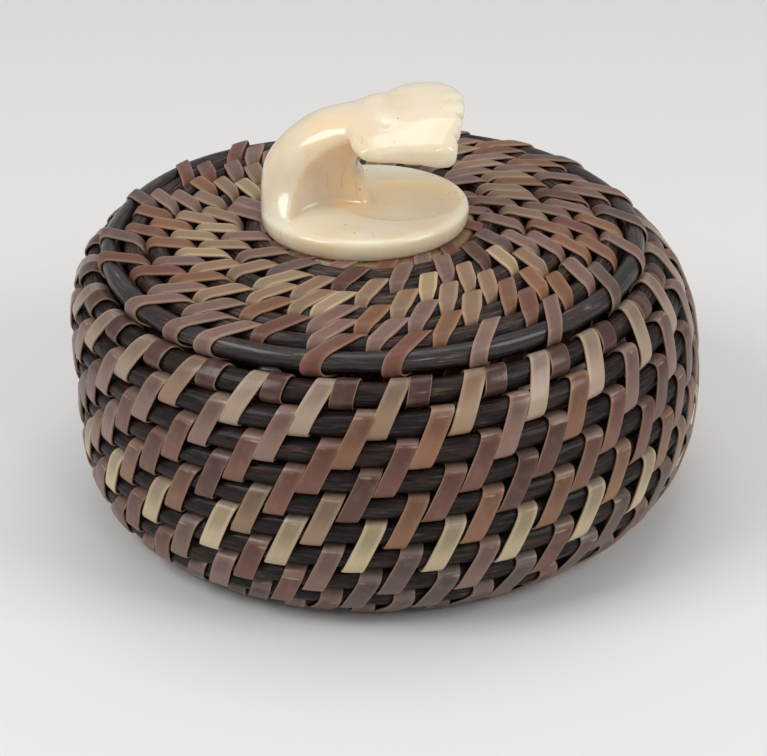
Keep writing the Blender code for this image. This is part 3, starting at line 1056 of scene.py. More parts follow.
class WeaveNodes:
    """The geometry node group that sets a strip on each point of a layout."""

    def __init__(self) -> None:
        """Make the group with its named inputs and join its nodes."""
        self.tree = bpy.data.node_groups.new("set_strips", "GeometryNodeTree")
        face = self.tree.interface
        face.new_socket("Points", in_out="INPUT", socket_type="NodeSocketGeometry")
        self.sockets = {}
        for name, kind in (("Strip", "NodeSocketObject"), ("Width Variety", "NodeSocketFloat"),
                           ("Bulge", "NodeSocketFloat"), ("Seed", "NodeSocketInt"),
                           ("Material", "NodeSocketMaterial")):
            socket = face.new_socket(name, in_out="INPUT", socket_type=kind)
            self.sockets[name] = socket.identifier
        face.new_socket("Weave", in_out="OUTPUT", socket_type="NodeSocketGeometry")
        self.join()

    def join(self) -> None:
        """Join the group's nodes: set each strip, then lean it over and let it stand proud."""
        nodes = Nodes(self.tree)
        given = nodes.add(Kind.GIVEN).node.outputs
        strip = nodes.add(Kind.OBJECT, Object=given["Strip"], As_Instance=True)
        least = nodes.add(Kind.MINUS, 1.0, given["Width Variety"])
        most = nodes.add(Kind.PLUS, 1.0, nodes.add(Kind.TIMES, given["Width Variety"], 0.3))
        wide = nodes.add(Kind.TIMES, nodes.add(Kind.CHANCE, least, most, Seed=given["Seed"]),
                         nodes.add(Kind.NUMBER, "room"))
        size = nodes.add(Kind.JOINED, wide, 1.0, nodes.add(Kind.NUMBER, "tall"))
        placed = nodes.add(Kind.ON_POINTS, Points=given["Points"], Instance=strip,
                           Rotation=nodes.add(Kind.VECTOR, "facing"), Scale=size)
        real = nodes.add(Kind.REAL, placed)
        proud = nodes.add(Kind.TIMES, given["Bulge"], nodes.add(Kind.NUMBER, "proud"))
        lift = nodes.add(Kind.TIMES, nodes.add(Kind.NUMBER, "front"), proud)
        aside = nodes.add(Kind.SCALED, nodes.add(Kind.VECTOR, "lean"),
                          nodes.add(Kind.NUMBER, "rise"))
        away = nodes.add(Kind.SCALED, nodes.add(Kind.VECTOR, "outward"), lift)
        moved = nodes.add(Kind.MOVED, real, Offset=nodes.add(Kind.SUM, aside, away))
        nodes.add(Kind.RESULT, nodes.add(Kind.DRESSED, moved, Material=given["Material"]))

    def run(self, points: bpy.types.Object, strip: bpy.types.Object, finish: Finish,
            variety: float, bulge: float, seed: int) -> None:
        """Set strips on the points and keep the result as the object's plain mesh.

        Args:
            points: The object that holds the layout's points.
            strip: The pattern to set.
            finish: The strips' finish.
            variety: Share by which the widths differ.
            bulge: Most that a strip stands proud between its rods, in metres.
            seed: Seed of the widths.
        """
        modifier = points.modifiers.new("set_strips", "NODES")
        modifier.node_group = self.tree
        values = {"Strip": strip, "Width Variety": variety, "Bulge": bulge, "Seed": seed,
                  "Material": finish.material()}
        for name, value in values.items():
            modifier[self.sockets[name]] = value
        evaluated_mesh(points).name = points.name


class Tone(Enum):
    """The colours that the split strips have."""

    MAUVE = "7d6359"
    ROSE = "6e483b"
    DARK = "55372e"
    BROWN = "835c43"
    TAN = "8f755d"
    BLOND = "bcab89"
    STRAW = "a48f6f"
    PALE = "9d8875"
    GREY = "604f4a"
    WRAP = "472b26"


# Tones of the body's rounds from the foot up, the blond row among them, and of the other ones
WALL_TONES = {10: (Tone.BLOND, Tone.BLOND, Tone.TAN),
              11: (Tone.BROWN, Tone.BROWN, Tone.TAN),
              12: (Tone.MAUVE, Tone.DARK, Tone.ROSE),
              13: (Tone.ROSE, Tone.ROSE, Tone.DARK),
              14: (Tone.BROWN, Tone.MAUVE, Tone.MAUVE),
              15: (Tone.PALE, Tone.PALE, Tone.PALE, Tone.TAN)}
OTHER_WALL_TONES = (Tone.MAUVE, Tone.ROSE, Tone.ROSE, Tone.GREY)

# Tones of the lid's rounds from the disc out, those that differ on its right, and the last one
LID_TONES = {0: (Tone.ROSE, Tone.MAUVE),
             1: (Tone.GREY, Tone.DARK, Tone.MAUVE),
             2: (Tone.STRAW, Tone.STRAW, Tone.TAN),
             3: (Tone.STRAW, Tone.TAN, Tone.TAN),
             4: (Tone.BROWN, Tone.TAN, Tone.BROWN, Tone.MAUVE),
             5: (Tone.MAUVE, Tone.BROWN, Tone.MAUVE, Tone.ROSE)}
RIGHT_LID_TONES = {**LID_TONES,
                   2: (Tone.STRAW, Tone.TAN, Tone.MAUVE),
                   3: (Tone.BROWN, Tone.MAUVE, Tone.TAN),
                   4: (Tone.MAUVE, Tone.ROSE, Tone.BROWN, Tone.MAUVE)}
OTHER_LID_TONES = (Tone.MAUVE, Tone.ROSE, Tone.MAUVE, Tone.GREY)
LID_RIGHT_SHARE = 0.3


def wall_tones(row: int, turns: float) -> Sequence[Tone]:
    """Return the tones that a strip of the body may have, by its round."""
    return WALL_TONES.get(min(row, max(WALL_TONES)), OTHER_WALL_TONES)


def lid_tones(row: int, turns: float) -> Sequence[Tone]:
    """Return the tones that a strip of the lid may have, by its round and side."""
    rows = RIGHT_LID_TONES if turns % 1 < LID_RIGHT_SHARE else LID_TONES
    return rows.get(row, OTHER_LID_TONES)


def dark_tones(row: int, turns: float) -> Sequence[Tone]:
    """Return the tones of the short wraps on the rim and of the flange's strips."""
    return Tone.WRAP, Tone.WRAP, Tone.DARK


@dataclass(frozen=True)
class Disc:
    """A starter disc: the circle of its holes, its middle's height and half its thickness."""

    hole_radius: float
    height: float
    half: float = DISC_THICKNESS / 2

    @property
    def reach(self) -> float:
        """Return how far out a strip stands that goes through a hole."""
        return self.hole_radius + self.half


@dataclass(frozen=True)
class Weave:
    """The strips of one coil, a piece for each round."""

    name: str
    layout: Layout
    body: str
    tones: Callable[[int, float], Sequence[Tone]]
    nodes: WeaveNodes
    bend: Bend
    last_bend: Bend
    finish: Finish
    disc: Disc | None = None
    bulge: float = 0.15 * MM
    variety: float = 0.08
    light: float = 1.0
    tone_spread: float = 0.15
    wrap_beside: float = 1.08
    wrap_lean: float = 0.25 * MM

    def build(self) -> list[bpy.types.Object]:
        """Build the rounds of strips, the first one through the disc if there is one."""
        winding = self.layout.winding
        width = self.layout.width
        pitch = winding.starts[-1] - winding.starts[-2]
        chance = random.Random(self.layout.seed + 1)
        rows: dict[int, list[dict[str, Any]]] = {}
        for stitch in self.layout.plan():
            row = math.floor(stitch.high)
            if row >= 1 or self.disc:
                rows.setdefault(row, []).append(self.spot(stitch, row, pitch, chance))
        pattern = f"pattern_{self.name}"
        normal = strip_loop(pattern, pitch, winding.rod_radius, width, self.bend)
        last = strip_loop(f"{pattern}_last", pitch, winding.rod_radius, width, self.last_bend)
        first = self.disc and strip_loop(f"{pattern}_first", winding.radius(0) - self.disc.reach,
                                         self.disc.half, width, self.bend)
        pieces = []
        for row, spots in sorted(rows.items()):
            strip = normal if row < len(winding.starts) - 1 else last
            pieces.append(self.piece(f"weave_{self.name}_{row:02d}", spots,
                                     first if row < 1 else strip, row))
        return pieces

    def piece(self, name: str, spots: Sequence[dict[str, Any]], strip: bpy.types.Object,
              row: int) -> bpy.types.Object:
        """Set a pattern strip on a row's places.

        Args:
            name: Name of the piece.
            spots: Place and look of each strip.
            strip: The pattern.
            row: Number of the row, which varies the widths.

        Returns:
            The piece.
        """
        points = points_object(name, spots)
        self.nodes.run(points, strip, self.finish, self.variety, self.bulge,
                       self.layout.seed + row)
        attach(points, self.body)
        return points

    def wraps(self, name: str, first: float) -> bpy.types.Object:
        """Build short dark wraps round the last rod alone, each beside a strip's upper end.

        Args:
            name: Name of the piece.
            first: Turns at which the last rod starts.

        Returns:
            The piece.
        """
        winding = self.layout.winding
        chance = random.Random(self.layout.seed + 2)
        strip = strip_loop(f"pattern_{name}", 0.0, winding.rod_radius, self.layout.width,
                           RIM_BEND)
        spots = []
        for stitch in self.layout.stitches:
            if stitch.high < first:
                continue
            turns = stitch.high + self.wrap_beside * self.layout.wide(stitch.high)
            up, outward = winding.axes(turns)
            lean = winding.travel(turns).normalized() * self.wrap_lean
            tone = chance.choice(dark_tones(0, turns))
            spots.append(self.look(winding.place(turns), up, outward, lean, 1.0, tone, turns,
                                   chance))
        return self.piece(name, spots, strip, 0)

    def spot(self, stitch: Stitch, row: int, pitch: float,
             chance: random.Random) -> dict[str, Any]:
        """Place one strip between its two rods, or between the disc and the first rod.

        Args:
            stitch: The strip.
            row: Its round.
            pitch: Distance between two rods, for which the pattern is made.
            chance: Source of the small differences from strip to strip.

        Returns:
            The attributes that place and colour it, by name.
        """
        winding = self.layout.winding
        middle = (stitch.low + 1 + stitch.high) / 2
        high = winding.place(middle)
        low = winding.place(middle - 1)
        if row < 1:
            angle = winding.azimuth(middle)
            low = Vector((self.disc.reach * math.cos(angle) + winding.centre(self.disc.height),
                          self.disc.reach * math.sin(angle), self.disc.height))
            pitch = winding.radius(0) - self.disc.reach
        travel = (winding.travel(middle) + winding.travel(middle - 1)).normalized()
        up = high - low
        up -= travel * up.dot(travel)
        tall = up.length / pitch
        up.normalize()
        outward = travel.cross(up)
        if outward.dot(winding.axes(middle)[1]) < 0:
            outward = -outward
        lean = travel * (stitch.high - stitch.low - 1) * winding.reach(middle)
        return self.look((high + low) / 2, up, outward, lean, tall,
                         chance.choice(self.tones(row, middle)), middle, chance)

    def look(self, place: Vector, up: Vector, outward: Vector, lean: Vector, tall: float,
             tone: Tone, turns: float, chance: random.Random) -> dict[str, Any]:
        """Gather the attributes that place and colour one strip.

        Args:
            place: The middle of the strip's loop.
            up: Direction from the lower rod to the upper one.
            outward: Direction away from the basket.
            lean: How far the strip's upper end lies along the rods from its lower one.
            tall: Stretch of the pattern from rod to rod.
            tone: The strip's colour.
            turns: Place along the winding.
            chance: Source of the small differences from strip to strip.

        Returns:
            The attributes by name.
        """
        facing = Matrix((outward.cross(up), outward, up)).transposed()
        shade = 1 + chance.uniform(-self.tone_spread, self.tone_spread)
        return {"position": place, "facing": facing.to_euler(), "lean": lean,
                "outward": outward, "tall": tall, "room": self.layout.room(turns),
                "proud": chance.uniform(0.2, 1.0), "chance": chance.random(),
                "tone": Vector(linear(tone.value)[:3]) * self.light * shade}


def points_object(name: str, spots: Sequence[dict[str, Any]]) -> bpy.types.Object:
    """Make an object whose points carry the places and looks of strips.

    Args:
        name: The object's name.
        spots: The attributes of each strip, by name.

    Returns:
        The object.
    """
    mesh = bpy.data.meshes.new(name)
    mesh.from_pydata([spot["position"] for spot in spots], [], [])
    for key in ("facing", "lean", "outward"):
        layer = mesh.attributes.new(key, "FLOAT_VECTOR", "POINT")
        layer.data.foreach_set("vector", [v for spot in spots for v in spot[key]])
    for key in ("tall", "room", "proud", "chance"):
        store(mesh, key, [spot[key] for spot in spots])
    layer = mesh.attributes.new("tone", "FLOAT_COLOR", "POINT")
    layer.data.foreach_set("color", [v for spot in spots for v in (*spot["tone"], 1.0)])
    thing = bpy.data.objects.new(name, mesh)
    bpy.context.scene.collection.objects.link(thing)
    return thing


@dataclass(frozen=True)
class Body:
    """The basket's body. Its heights are above the centre of the foot's rod.

    The coil's sizes are as in the solids, except for the rod, which is shown a little fuller.
    The settle zone is what is pressed flat over the ground, and the depth how far it hung.
    """

    weave: WeaveNodes
    floor_rounds: int = 4
    wall_rounds: int = 11
    rod_gap: float = 0.78 * MM
    shown_rod: float = 3.48 * MM
    belly_radius: float = 43.3 * MM
    belly_height: float = 16.4 * MM
    rim_height: float = 34.4 * MM
    foot_share: float = 0.688
    mouth_share: float = 0.921
    disc_share: float = 0.298
    belly_shift: float = 0.86 * MM
    mouth_shift: float = -2.5 * MM
    foot_shift: float = -2.4 * MM
    shift_power: float = 3.0
    kick_up: float = 1.2 * MM
    belly_squareness: float = 2.68
    shoulder_squareness: float = 5.0
    strip_width: float = 3.15 * MM
    strip_slant: tuple[float, float] = (1.7 * MM, 1.9 * MM)
    strip_counts: tuple[tuple[float, float], ...] = ((0, 12), (1, 14), (4, 26), (16, 26))
    strip_light: float = 1.12
    first_strip: float = 0.0194
    settle_zone: float = 1.3 * MM
    settle_depth: float = 1.0 * MM

    @property
    def foot_radius(self) -> float:
        """Return the radius of the foot's rod centre."""
        return self.belly_radius * self.foot_share

    @property
    def mouth_radius(self) -> float:
        """Return the radius of the rim's rod centre."""
        return self.belly_radius * self.mouth_share

    @property
    def disc_radius(self) -> float:
        """Return the radius of the base disc."""
        return self.belly_radius * self.disc_share

    @cached_property
    def wall_length(self) -> float:
        """Return the length of the wall's curve."""
        return Profile.through(self.wall_points()).total()

    @cached_property
    def rod_radius(self) -> float:
        """Return the radius of the solids' rod."""
        return (self.wall_length / self.wall_rounds - self.rod_gap) / 2

    @cached_property
    def foot_centre(self) -> float:
        """Return the height of the foot's rod centre over the ground."""
        return self.rod_radius * math.cos(math.pi / 6)

    def wall_points(self, count: int = 80) -> list[tuple[float, float]]:
        """Lay out the wall's curve from the foot round the belly to the mouth.

        Args:
            count: Number of points below the belly and again above it.

        Returns:
            Radius and height of each point.
        """
        points = []
        for i in range(count):
            angle = math.pi / 2 * i / (count - 1)
            out = max(math.sin(angle), 0.0) ** (2 / self.belly_squareness)
            down = max(math.cos(angle), 0.0) ** (2 / self.belly_squareness)
            points.append((self.foot_radius + (self.belly_radius - self.foot_radius) * out,
                           self.belly_height * (1 - down)))
        for i in range(1, count):
            share = i / (count - 1)
            drawn_in = (self.belly_radius - self.mouth_radius) * share ** self.shoulder_squareness
            points.append((self.belly_radius - drawn_in, self.belly_height
                           + (self.rim_height - self.belly_height) * share))
        return points

    def profile(self, count: int = 40) -> Profile:
        """Lay out the floor, a little kicked up in the middle, and the wall.

        Args:
            count: Number of points of the floor.

        Returns:
            The profile.
        """
        first = self.disc_radius + DISC_COIL_GAP + self.rod_radius
        points = []
        for i in range(count):
            radius = first + (self.foot_radius - first) * i / (count - 1)
            points.append((radius, self.kick_up * (1 - (radius / self.foot_radius) ** 2) ** 2))
        points += self.wall_points()[1:]
        return Profile.through([(radius, self.foot_centre + height) for radius, height in points])

    def centre(self, height: float) -> float:
        """Return the centre of the round at a height, drawn aside at foot and mouth."""
        share = hold((height - self.foot_centre) / self.rim_height)
        shift = (self.mouth_shift * share ** self.shift_power
                 + self.foot_shift * (1 - share) ** self.shift_power)
        return self.belly_shift + shift

    def winding(self) -> Winding:
        """Return the winding of the floor and the wall."""
        profile = self.profile()
        floor = profile.total() - self.wall_length
        starts = (even_rounds(0.0, floor, self.floor_rounds)[:-1]
                  + even_rounds(floor, self.wall_length, self.wall_rounds))
        return Winding(profile, tuple(starts), 1, self.centre, self.shown_rod / 2)

    def build(self) -> list[bpy.types.Object]:
        """Build the rods, the strips and the short wraps of the rim, and return them."""
        winding = self.winding()
        names = [f"floor_coil_{i + 1}" for i in range(self.floor_rounds)] + ["foot_coil"]
        names += [f"wall_coil_{i + 1:02d}" for i in range(self.wall_rounds - 1)] + ["rim_coil"]
        rods = RodCoil(winding, tuple(names), BODY_ROD, BODY_ROD, "basket", "dark_baleen").build()
        last = len(winding.starts) - 1
        layout = Layout(winding, self.strip_counts, self.strip_width, self.strip_slant, 7,
                        last + LEVEL_SHARE, narrow=0.95, phase=self.first_strip)
        disc = Disc(self.disc_radius - HOLE_INSET, winding.profile.at(0)[0][1])
        weave = Weave("body", layout, "basket", wall_tones, self.weave, WALL_BEND, RIM_BEND,
                      WALL_STRIP, disc, light=self.strip_light)
        strips = weave.build()
        wraps = weave.wraps("weave_rim_wraps", last)
        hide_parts("rim_binding")
        self.settle(rods + strips)
        return rods + strips + [wraps]

    def settle(self, pieces: Sequence[bpy.types.Object]) -> None:
        """Press what lies under the body flat on the ground, keeping its order in height.

        Args:
            pieces: The rods and strips.
        """
        for piece in pieces:
            for vertex in piece.data.vertices:
                share = (self.settle_zone - vertex.co.z) / (self.settle_zone + self.settle_depth)
                if share > 0:
                    vertex.co.z = self.settle_zone * (1 - share)


@dataclass(frozen=True)
class Lid:
    """The lid and the flange under it that drops inside the mouth.

    The coil's sizes are as in the solids, except for the flange's rod, which is shown fuller.
    The flange's strips start the flange sink below the middle of the lid's rod.
    """

    weave: WeaveNodes
    body: Body
    rounds: int = 6
    rod_gap: float = 0.45 * MM
    shown_rod: float = 3.04 * MM
    set_in: float = 2.4 * MM
    dome_rise: float = 2.2 * MM
    dome_power: float = 2.5
    seat_distance: float = 4.19 * MM
    disc_radius: float = 14.7 * MM
    strip_width: float = 3.15 * MM
    strip_slant: tuple[float, float] = (1.5 * MM, 3.0 * MM)
    strip_counts: tuple[tuple[float, float], ...] = ((0, 15), (1, 17), (2, 20), (3, 23), (4, 26),
                                                     (5, 27), (6, 21))
    strip_light: float = 1.45
    strip_bulge: float = 0.3 * MM
    flange_rounds: int = 2
    flange_rod: float = 3.36 * MM
    flange_sink: float = 1.6 * MM
    flange_slant: tuple[float, float] = (1.5 * MM, 1.5 * MM)
    flange_counts: tuple[tuple[float, float], ...] = ((0, 26), (3, 26))

    @property
    def edge_radius(self) -> float:
        """Return the radius of the outermost rod's centre."""
        return self.body.mouth_radius - self.set_in

    @property
    def pitch(self) -> float:
        """Return the distance between two rods."""
        coils = self.edge_radius - self.disc_radius - DISC_COIL_GAP + self.rod_gap / 2
        return coils / (self.rounds + 0.5)

    @cached_property
    def edge_height(self) -> float:
        """Return the height of the outermost rod's centre, which rests on the rim."""
        return (self.body.foot_centre + self.body.rim_height
                + math.sqrt(self.seat_distance ** 2 - self.set_in ** 2))

    @cached_property
    def disc_height(self) -> float:
        """Return the height of the starter disc's middle."""
        return self.height(self.winding().radius(0))

    def height(self, radius: float) -> float:
        """Return the height of the rods' centres at a radius."""
        share = (radius / self.edge_radius) ** self.dome_power
        return self.edge_height + self.dome_rise * (1 - share)

    def centre(self, height: float = 0.0) -> float:
        """Return the centre of the lid's rounds, which is the same at every height."""
        return self.body.belly_shift + self.body.mouth_shift

    def winding(self, count: int = 60) -> Winding:
        """Lay out the winding of the lid's coil.

        Args:
            count: Number of points of its profile.

        Returns:
            The winding.
        """
        first = self.disc_radius + DISC_COIL_GAP + (self.pitch - self.rod_gap) / 2
        radii = [first + (self.edge_radius - first) * i / (count - 1) for i in range(count)]
        profile = Profile.through([(radius, self.height(radius)) for radius in radii])
        starts = even_rounds(0.0, profile.total(), self.rounds)
        return Winding(profile, tuple(starts), -1, self.centre, self.shown_rod / 2)

    def under(self, lid: Winding, top: float, starts: tuple[float, ...]) -> Winding:
        """Lay out a winding straight down from the lid's coil.

        Args:
            lid: The lid's winding.
            top: How far below the lid's rod it starts.
            starts: Where its rounds start.

        Returns:
            The winding.
        """
        edge = lid.profile.at(lid.starts[-2])[0]
        profile = Profile.through([edge - Vector((0, top)),
                                   edge - Vector((0, self.pitch * self.flange_rounds))])
        return Winding(profile, starts, -1, self.centre, self.flange_rod / 2)

    def build(self) -> list[bpy.types.Object]:
        """Build the rods and strips of the lid and of the flange, and return them."""
        lid = self.winding()
        names = [f"lid_coil_{i + 1}" for i in range(self.rounds)] + ["lid_edge_coil"]
        pieces = RodCoil(lid, tuple(names), LID_ROD, EDGE_ROD, "lid", "lid_baleen").build()
        layout = Layout(lid, self.strip_counts, self.strip_width, self.strip_slant, 11,
                        self.rounds + LEVEL_SHARE, jitter=0.3, narrow=0.86)
        pieces += Weave("lid", layout, "lid", lid_tones, self.weave, LID_BEND, EDGE_BEND,
                        LID_STRIP, Disc(self.disc_radius - HOLE_INSET, self.disc_height),
                        self.strip_bulge, light=self.strip_light).build()
        rounds = range(self.flange_rounds)
        flange = self.under(lid, self.pitch, tuple(self.pitch * i for i in rounds))
        names = [f"flange_coil_{i + 1}" for i in rounds]
        pieces += RodCoil(flange, tuple(names), LID_ROD, LID_ROD, "lid", "lid_baleen").build()
        starts = tuple(self.pitch * (i + 1) - self.flange_sink for i in rounds)
        binding = self.under(lid, self.flange_sink, (0.0,) + starts)
        layout = Layout(binding, self.flange_counts, self.strip_width, self.flange_slant, 19,
                        self.flange_rounds + LEVEL_SHARE, narrow=0.9)
        return pieces + Weave("flange", layout, "lid", dark_tones, self.weave, RIM_BEND,
                              RIM_BEND, LID_STRIP, bulge=0.0).build()


@dataclass(frozen=True)
class Slice:
    """One slice of the carved tail, in shares of half the finial's length.

    The angle is the way the carving runs there, in degrees up from +X.
    """

    x: float
    y: float
    z: float
    angle: float
    half_width: float
    half_thickness: float
    roll: float = 0.0
    squareness: float = 2.3

    def ring(self, size: float, count: int) -> list[Vector]:
        """Lay out the slice's points.

        Args:
            size: Half the finial's length.
            count: Number of points.

        Returns:
            The points.
        """
        angle, roll = math.radians(self.angle), math.radians(self.roll)
        normal = Vector((-math.sin(angle), 0, math.cos(angle)))
        wide = Vector((0, math.cos(roll), 0)) + normal * math.sin(roll)
        thick = normal * math.cos(roll) - Vector((0, math.sin(roll), 0))
        points = []
        for turn in round_angles(count):
            u = squared(math.cos(turn), 2 / self.squareness) * self.half_width
            v = squared(math.sin(turn), 2 / self.squareness) * self.half_thickness
            points.append((Vector((self.x, self.y, self.z)) + wide * u + thick * v) * size)
        return points


@dataclass(frozen=True)
class Lobe:
    """One slice of the flukes, at a place from back to front, in shares of half the length.

    Rise is how much higher its right side is than its left, and droop how far that side's lower
    edge hangs.
    """

    y: float
    left: float
    right: float
    z: float
    half_thickness: float
    droop: float = 0.0
    rise: float = 0.0

    def ring(self, size: float, count: int) -> list[Vector]:
        """Lay out the slice's points.

        Args:
            size: Half the finial's length.
            count: Number of points.

        Returns:
            The points.
        """
        middle, half = (self.left + self.right) / 2, (self.right - self.left) / 2
        points = []
        for turn in round_angles(count):
            c, s = math.cos(turn), math.sin(turn)
            out = squared(c, 0.62)
            up = squared(s, 0.75) * self.half_thickness + self.rise * out
            fall = self.droop * max(c + 0.2, 0.0) * (0.5 - 0.5 * s)
            points.append(Vector((middle + out * half, self.y, self.z + up - fall)) * size)
        return points


@dataclass(frozen=True)
class Scoop:
    """An egg-shaped hollow, in shares of half the finial's length."""

    middle: tuple[float, float, float]
    half_size: tuple[float, float, float]
    squareness: float = 2.0

    def rings(self, size: float, around: int, count: int = 24) -> list[list[Vector]]:
        """Lay out the hollow's surface.

        Args:
            size: Half the finial's length.
            around: Number of points of each ring.
            count: Steps from pole to pole.

        Returns:
            The rings.
        """
        rings = []
        for i in range(1, count):
            tilt = math.pi * i / count
            ring = []
            for turn in round_angles(around):
                spoke = (math.sin(tilt) * math.cos(turn), math.sin(tilt) * math.sin(turn),
                         -math.cos(tilt))
                ring.append(Vector([m + h * squared(s, 2 / self.squareness) for m, h, s
                                    in zip(self.middle, self.half_size, spoke)]) * size)
            rings.append(ring)
        return rings

    def depth(self, spot: Vector) -> float:
        """Return how far a spot is from the middle, 1 on the surface."""
        shares = [abs(s - m) / h for s, m, h in zip(spot, self.middle, self.half_size)]
        return sum(share ** self.squareness for share in shares) ** (1 / self.squareness)


# The tail from the plate up and over, and the flukes from back to front
TAIL = (
    Slice(-0.47, 0.02, 0.08, 90, 0.64, 0.53, 0, 2.2),
    Slice(-0.485, 0.10, 0.22, 90, 0.53, 0.515, 0, 2.2),
    Slice(-0.49, 0.16, 0.36, 88, 0.45, 0.50, 0, 2.2),
    Slice(-0.47, 0.17, 0.48, 82, 0.41, 0.48, 0, 2.2),
    Slice(-0.41, 0.17, 0.62, 66, 0.39, 0.40, 0, 2.2),
    Slice(-0.25, 0.14, 0.80, 38, 0.37, 0.28, 2, 2.3),
    Slice(-0.02, 0.07, 0.93, 20, 0.35, 0.19, 4, 2.4),
    Slice(0.20, 0.02, 1.03, 16, 0.38, 0.16, 5, 2.6),
    Slice(0.50, 0.00, 1.02, 0, 0.30, 0.08, 4, 3.0),
)
FLUKES = (
    Lobe(0.56, 0.46, 0.64, 1.12, 0.045),
    Lobe(0.47, 0.32, 0.79, 1.13, 0.065, 0, 0.01),
    Lobe(0.32, 0.16, 0.90, 1.125, 0.08, 0, 0.025),
    Lobe(0.14, -0.02, 0.96, 1.10, 0.09, 0, 0.05),
    Lobe(-0.08, -0.13, 0.965, 1.06, 0.095, 0, 0.07),
    Lobe(-0.28, -0.15, 0.93, 1.01, 0.095, 0.02, 0.06),
    Lobe(-0.42, -0.12, 0.895, 0.965, 0.09, 0.08, 0.04),
    Lobe(-0.56, -0.03, 0.865, 0.90, 0.08, 0.14, 0.02),
    Lobe(-0.60, 0.12, 0.74, 0.885, 0.05, 0.12, 0.02),
)

# The oval plate's edge from below to above: share of its height and of its radius
PLATE_EDGE = ((-0.32, 0.5), (-0.32, 0.92), (-0.27, 0.96), (-0.1, 0.985), (0.3, 1.0), (0.72, 1.0),
              (0.88, 0.985), (0.97, 0.955), (1.0, 0.92), (1.0, 0.6), (1.0, 0.3))

# Hollow of the neck, dish of the plate, nicks in the flukes' edge, and the places rubbed soft
TAIL_SCOOP = Scoop((0.06, -0.50, 0.38), (0.83, 0.50, 0.60), 2.1)
PLATE_DISH = Scoop((0.35, 0.02, 0.27), (0.72, 0.60, 0.17))
NOTCHES = (Scoop((0.95, -0.20, 1.1), (0.07, 0.04, 0.3)),
           Scoop((0.90, -0.42, 1.0), (0.05, 0.03, 0.3)),
           Scoop((0.98, 0.04, 1.1), (0.07, 0.04, 0.3)))
SOFT_SPOTS = (((0.0, 0.1, 0.20), 0.34), ((0.0, 0.1, 0.42), 0.30), ((-0.22, 0.02, 0.17), 0.30),
              ((-0.42, -0.06, 0.17), 0.26), ((-0.06, -0.22, 1.06), 0.30), ((0.02, 0.02, 1.12), 0.30),
              ((0.12, 0.26, 1.15), 0.26), ((0.38, 0.0, 1.16), 0.34), ((0.60, 0.16, 1.20), 0.26),
              ((0.52, 0.36, 1.14), 0.26))


def spline(slices: Sequence[Slice], steps: int) -> list[Slice]:
    """Draw a smooth curve of slices through given ones.

    Args:
        slices: The given slices.
        steps: Number of slices from one of them to the next.

    Returns:
        The slices.
    """
    rows = [astuple(part) for part in slices]
    rows = [rows[0]] + rows + [rows[-1]]
    found = []
    for k in range(1, len(rows) - 2):
        for i in range(steps):
            t = i / steps
            mixed = []
            for a, b, c, d in zip(*rows[k - 1:k + 3]):
                mixed.append(0.5 * (2 * b + (c - a) * t + (2 * a - 5 * b + 4 * c - d) * t * t
                                    + (3 * b - a - 3 * c + d) * t ** 3))
            found.append(Slice(*mixed))
    found.append(slices[-1])
    return found


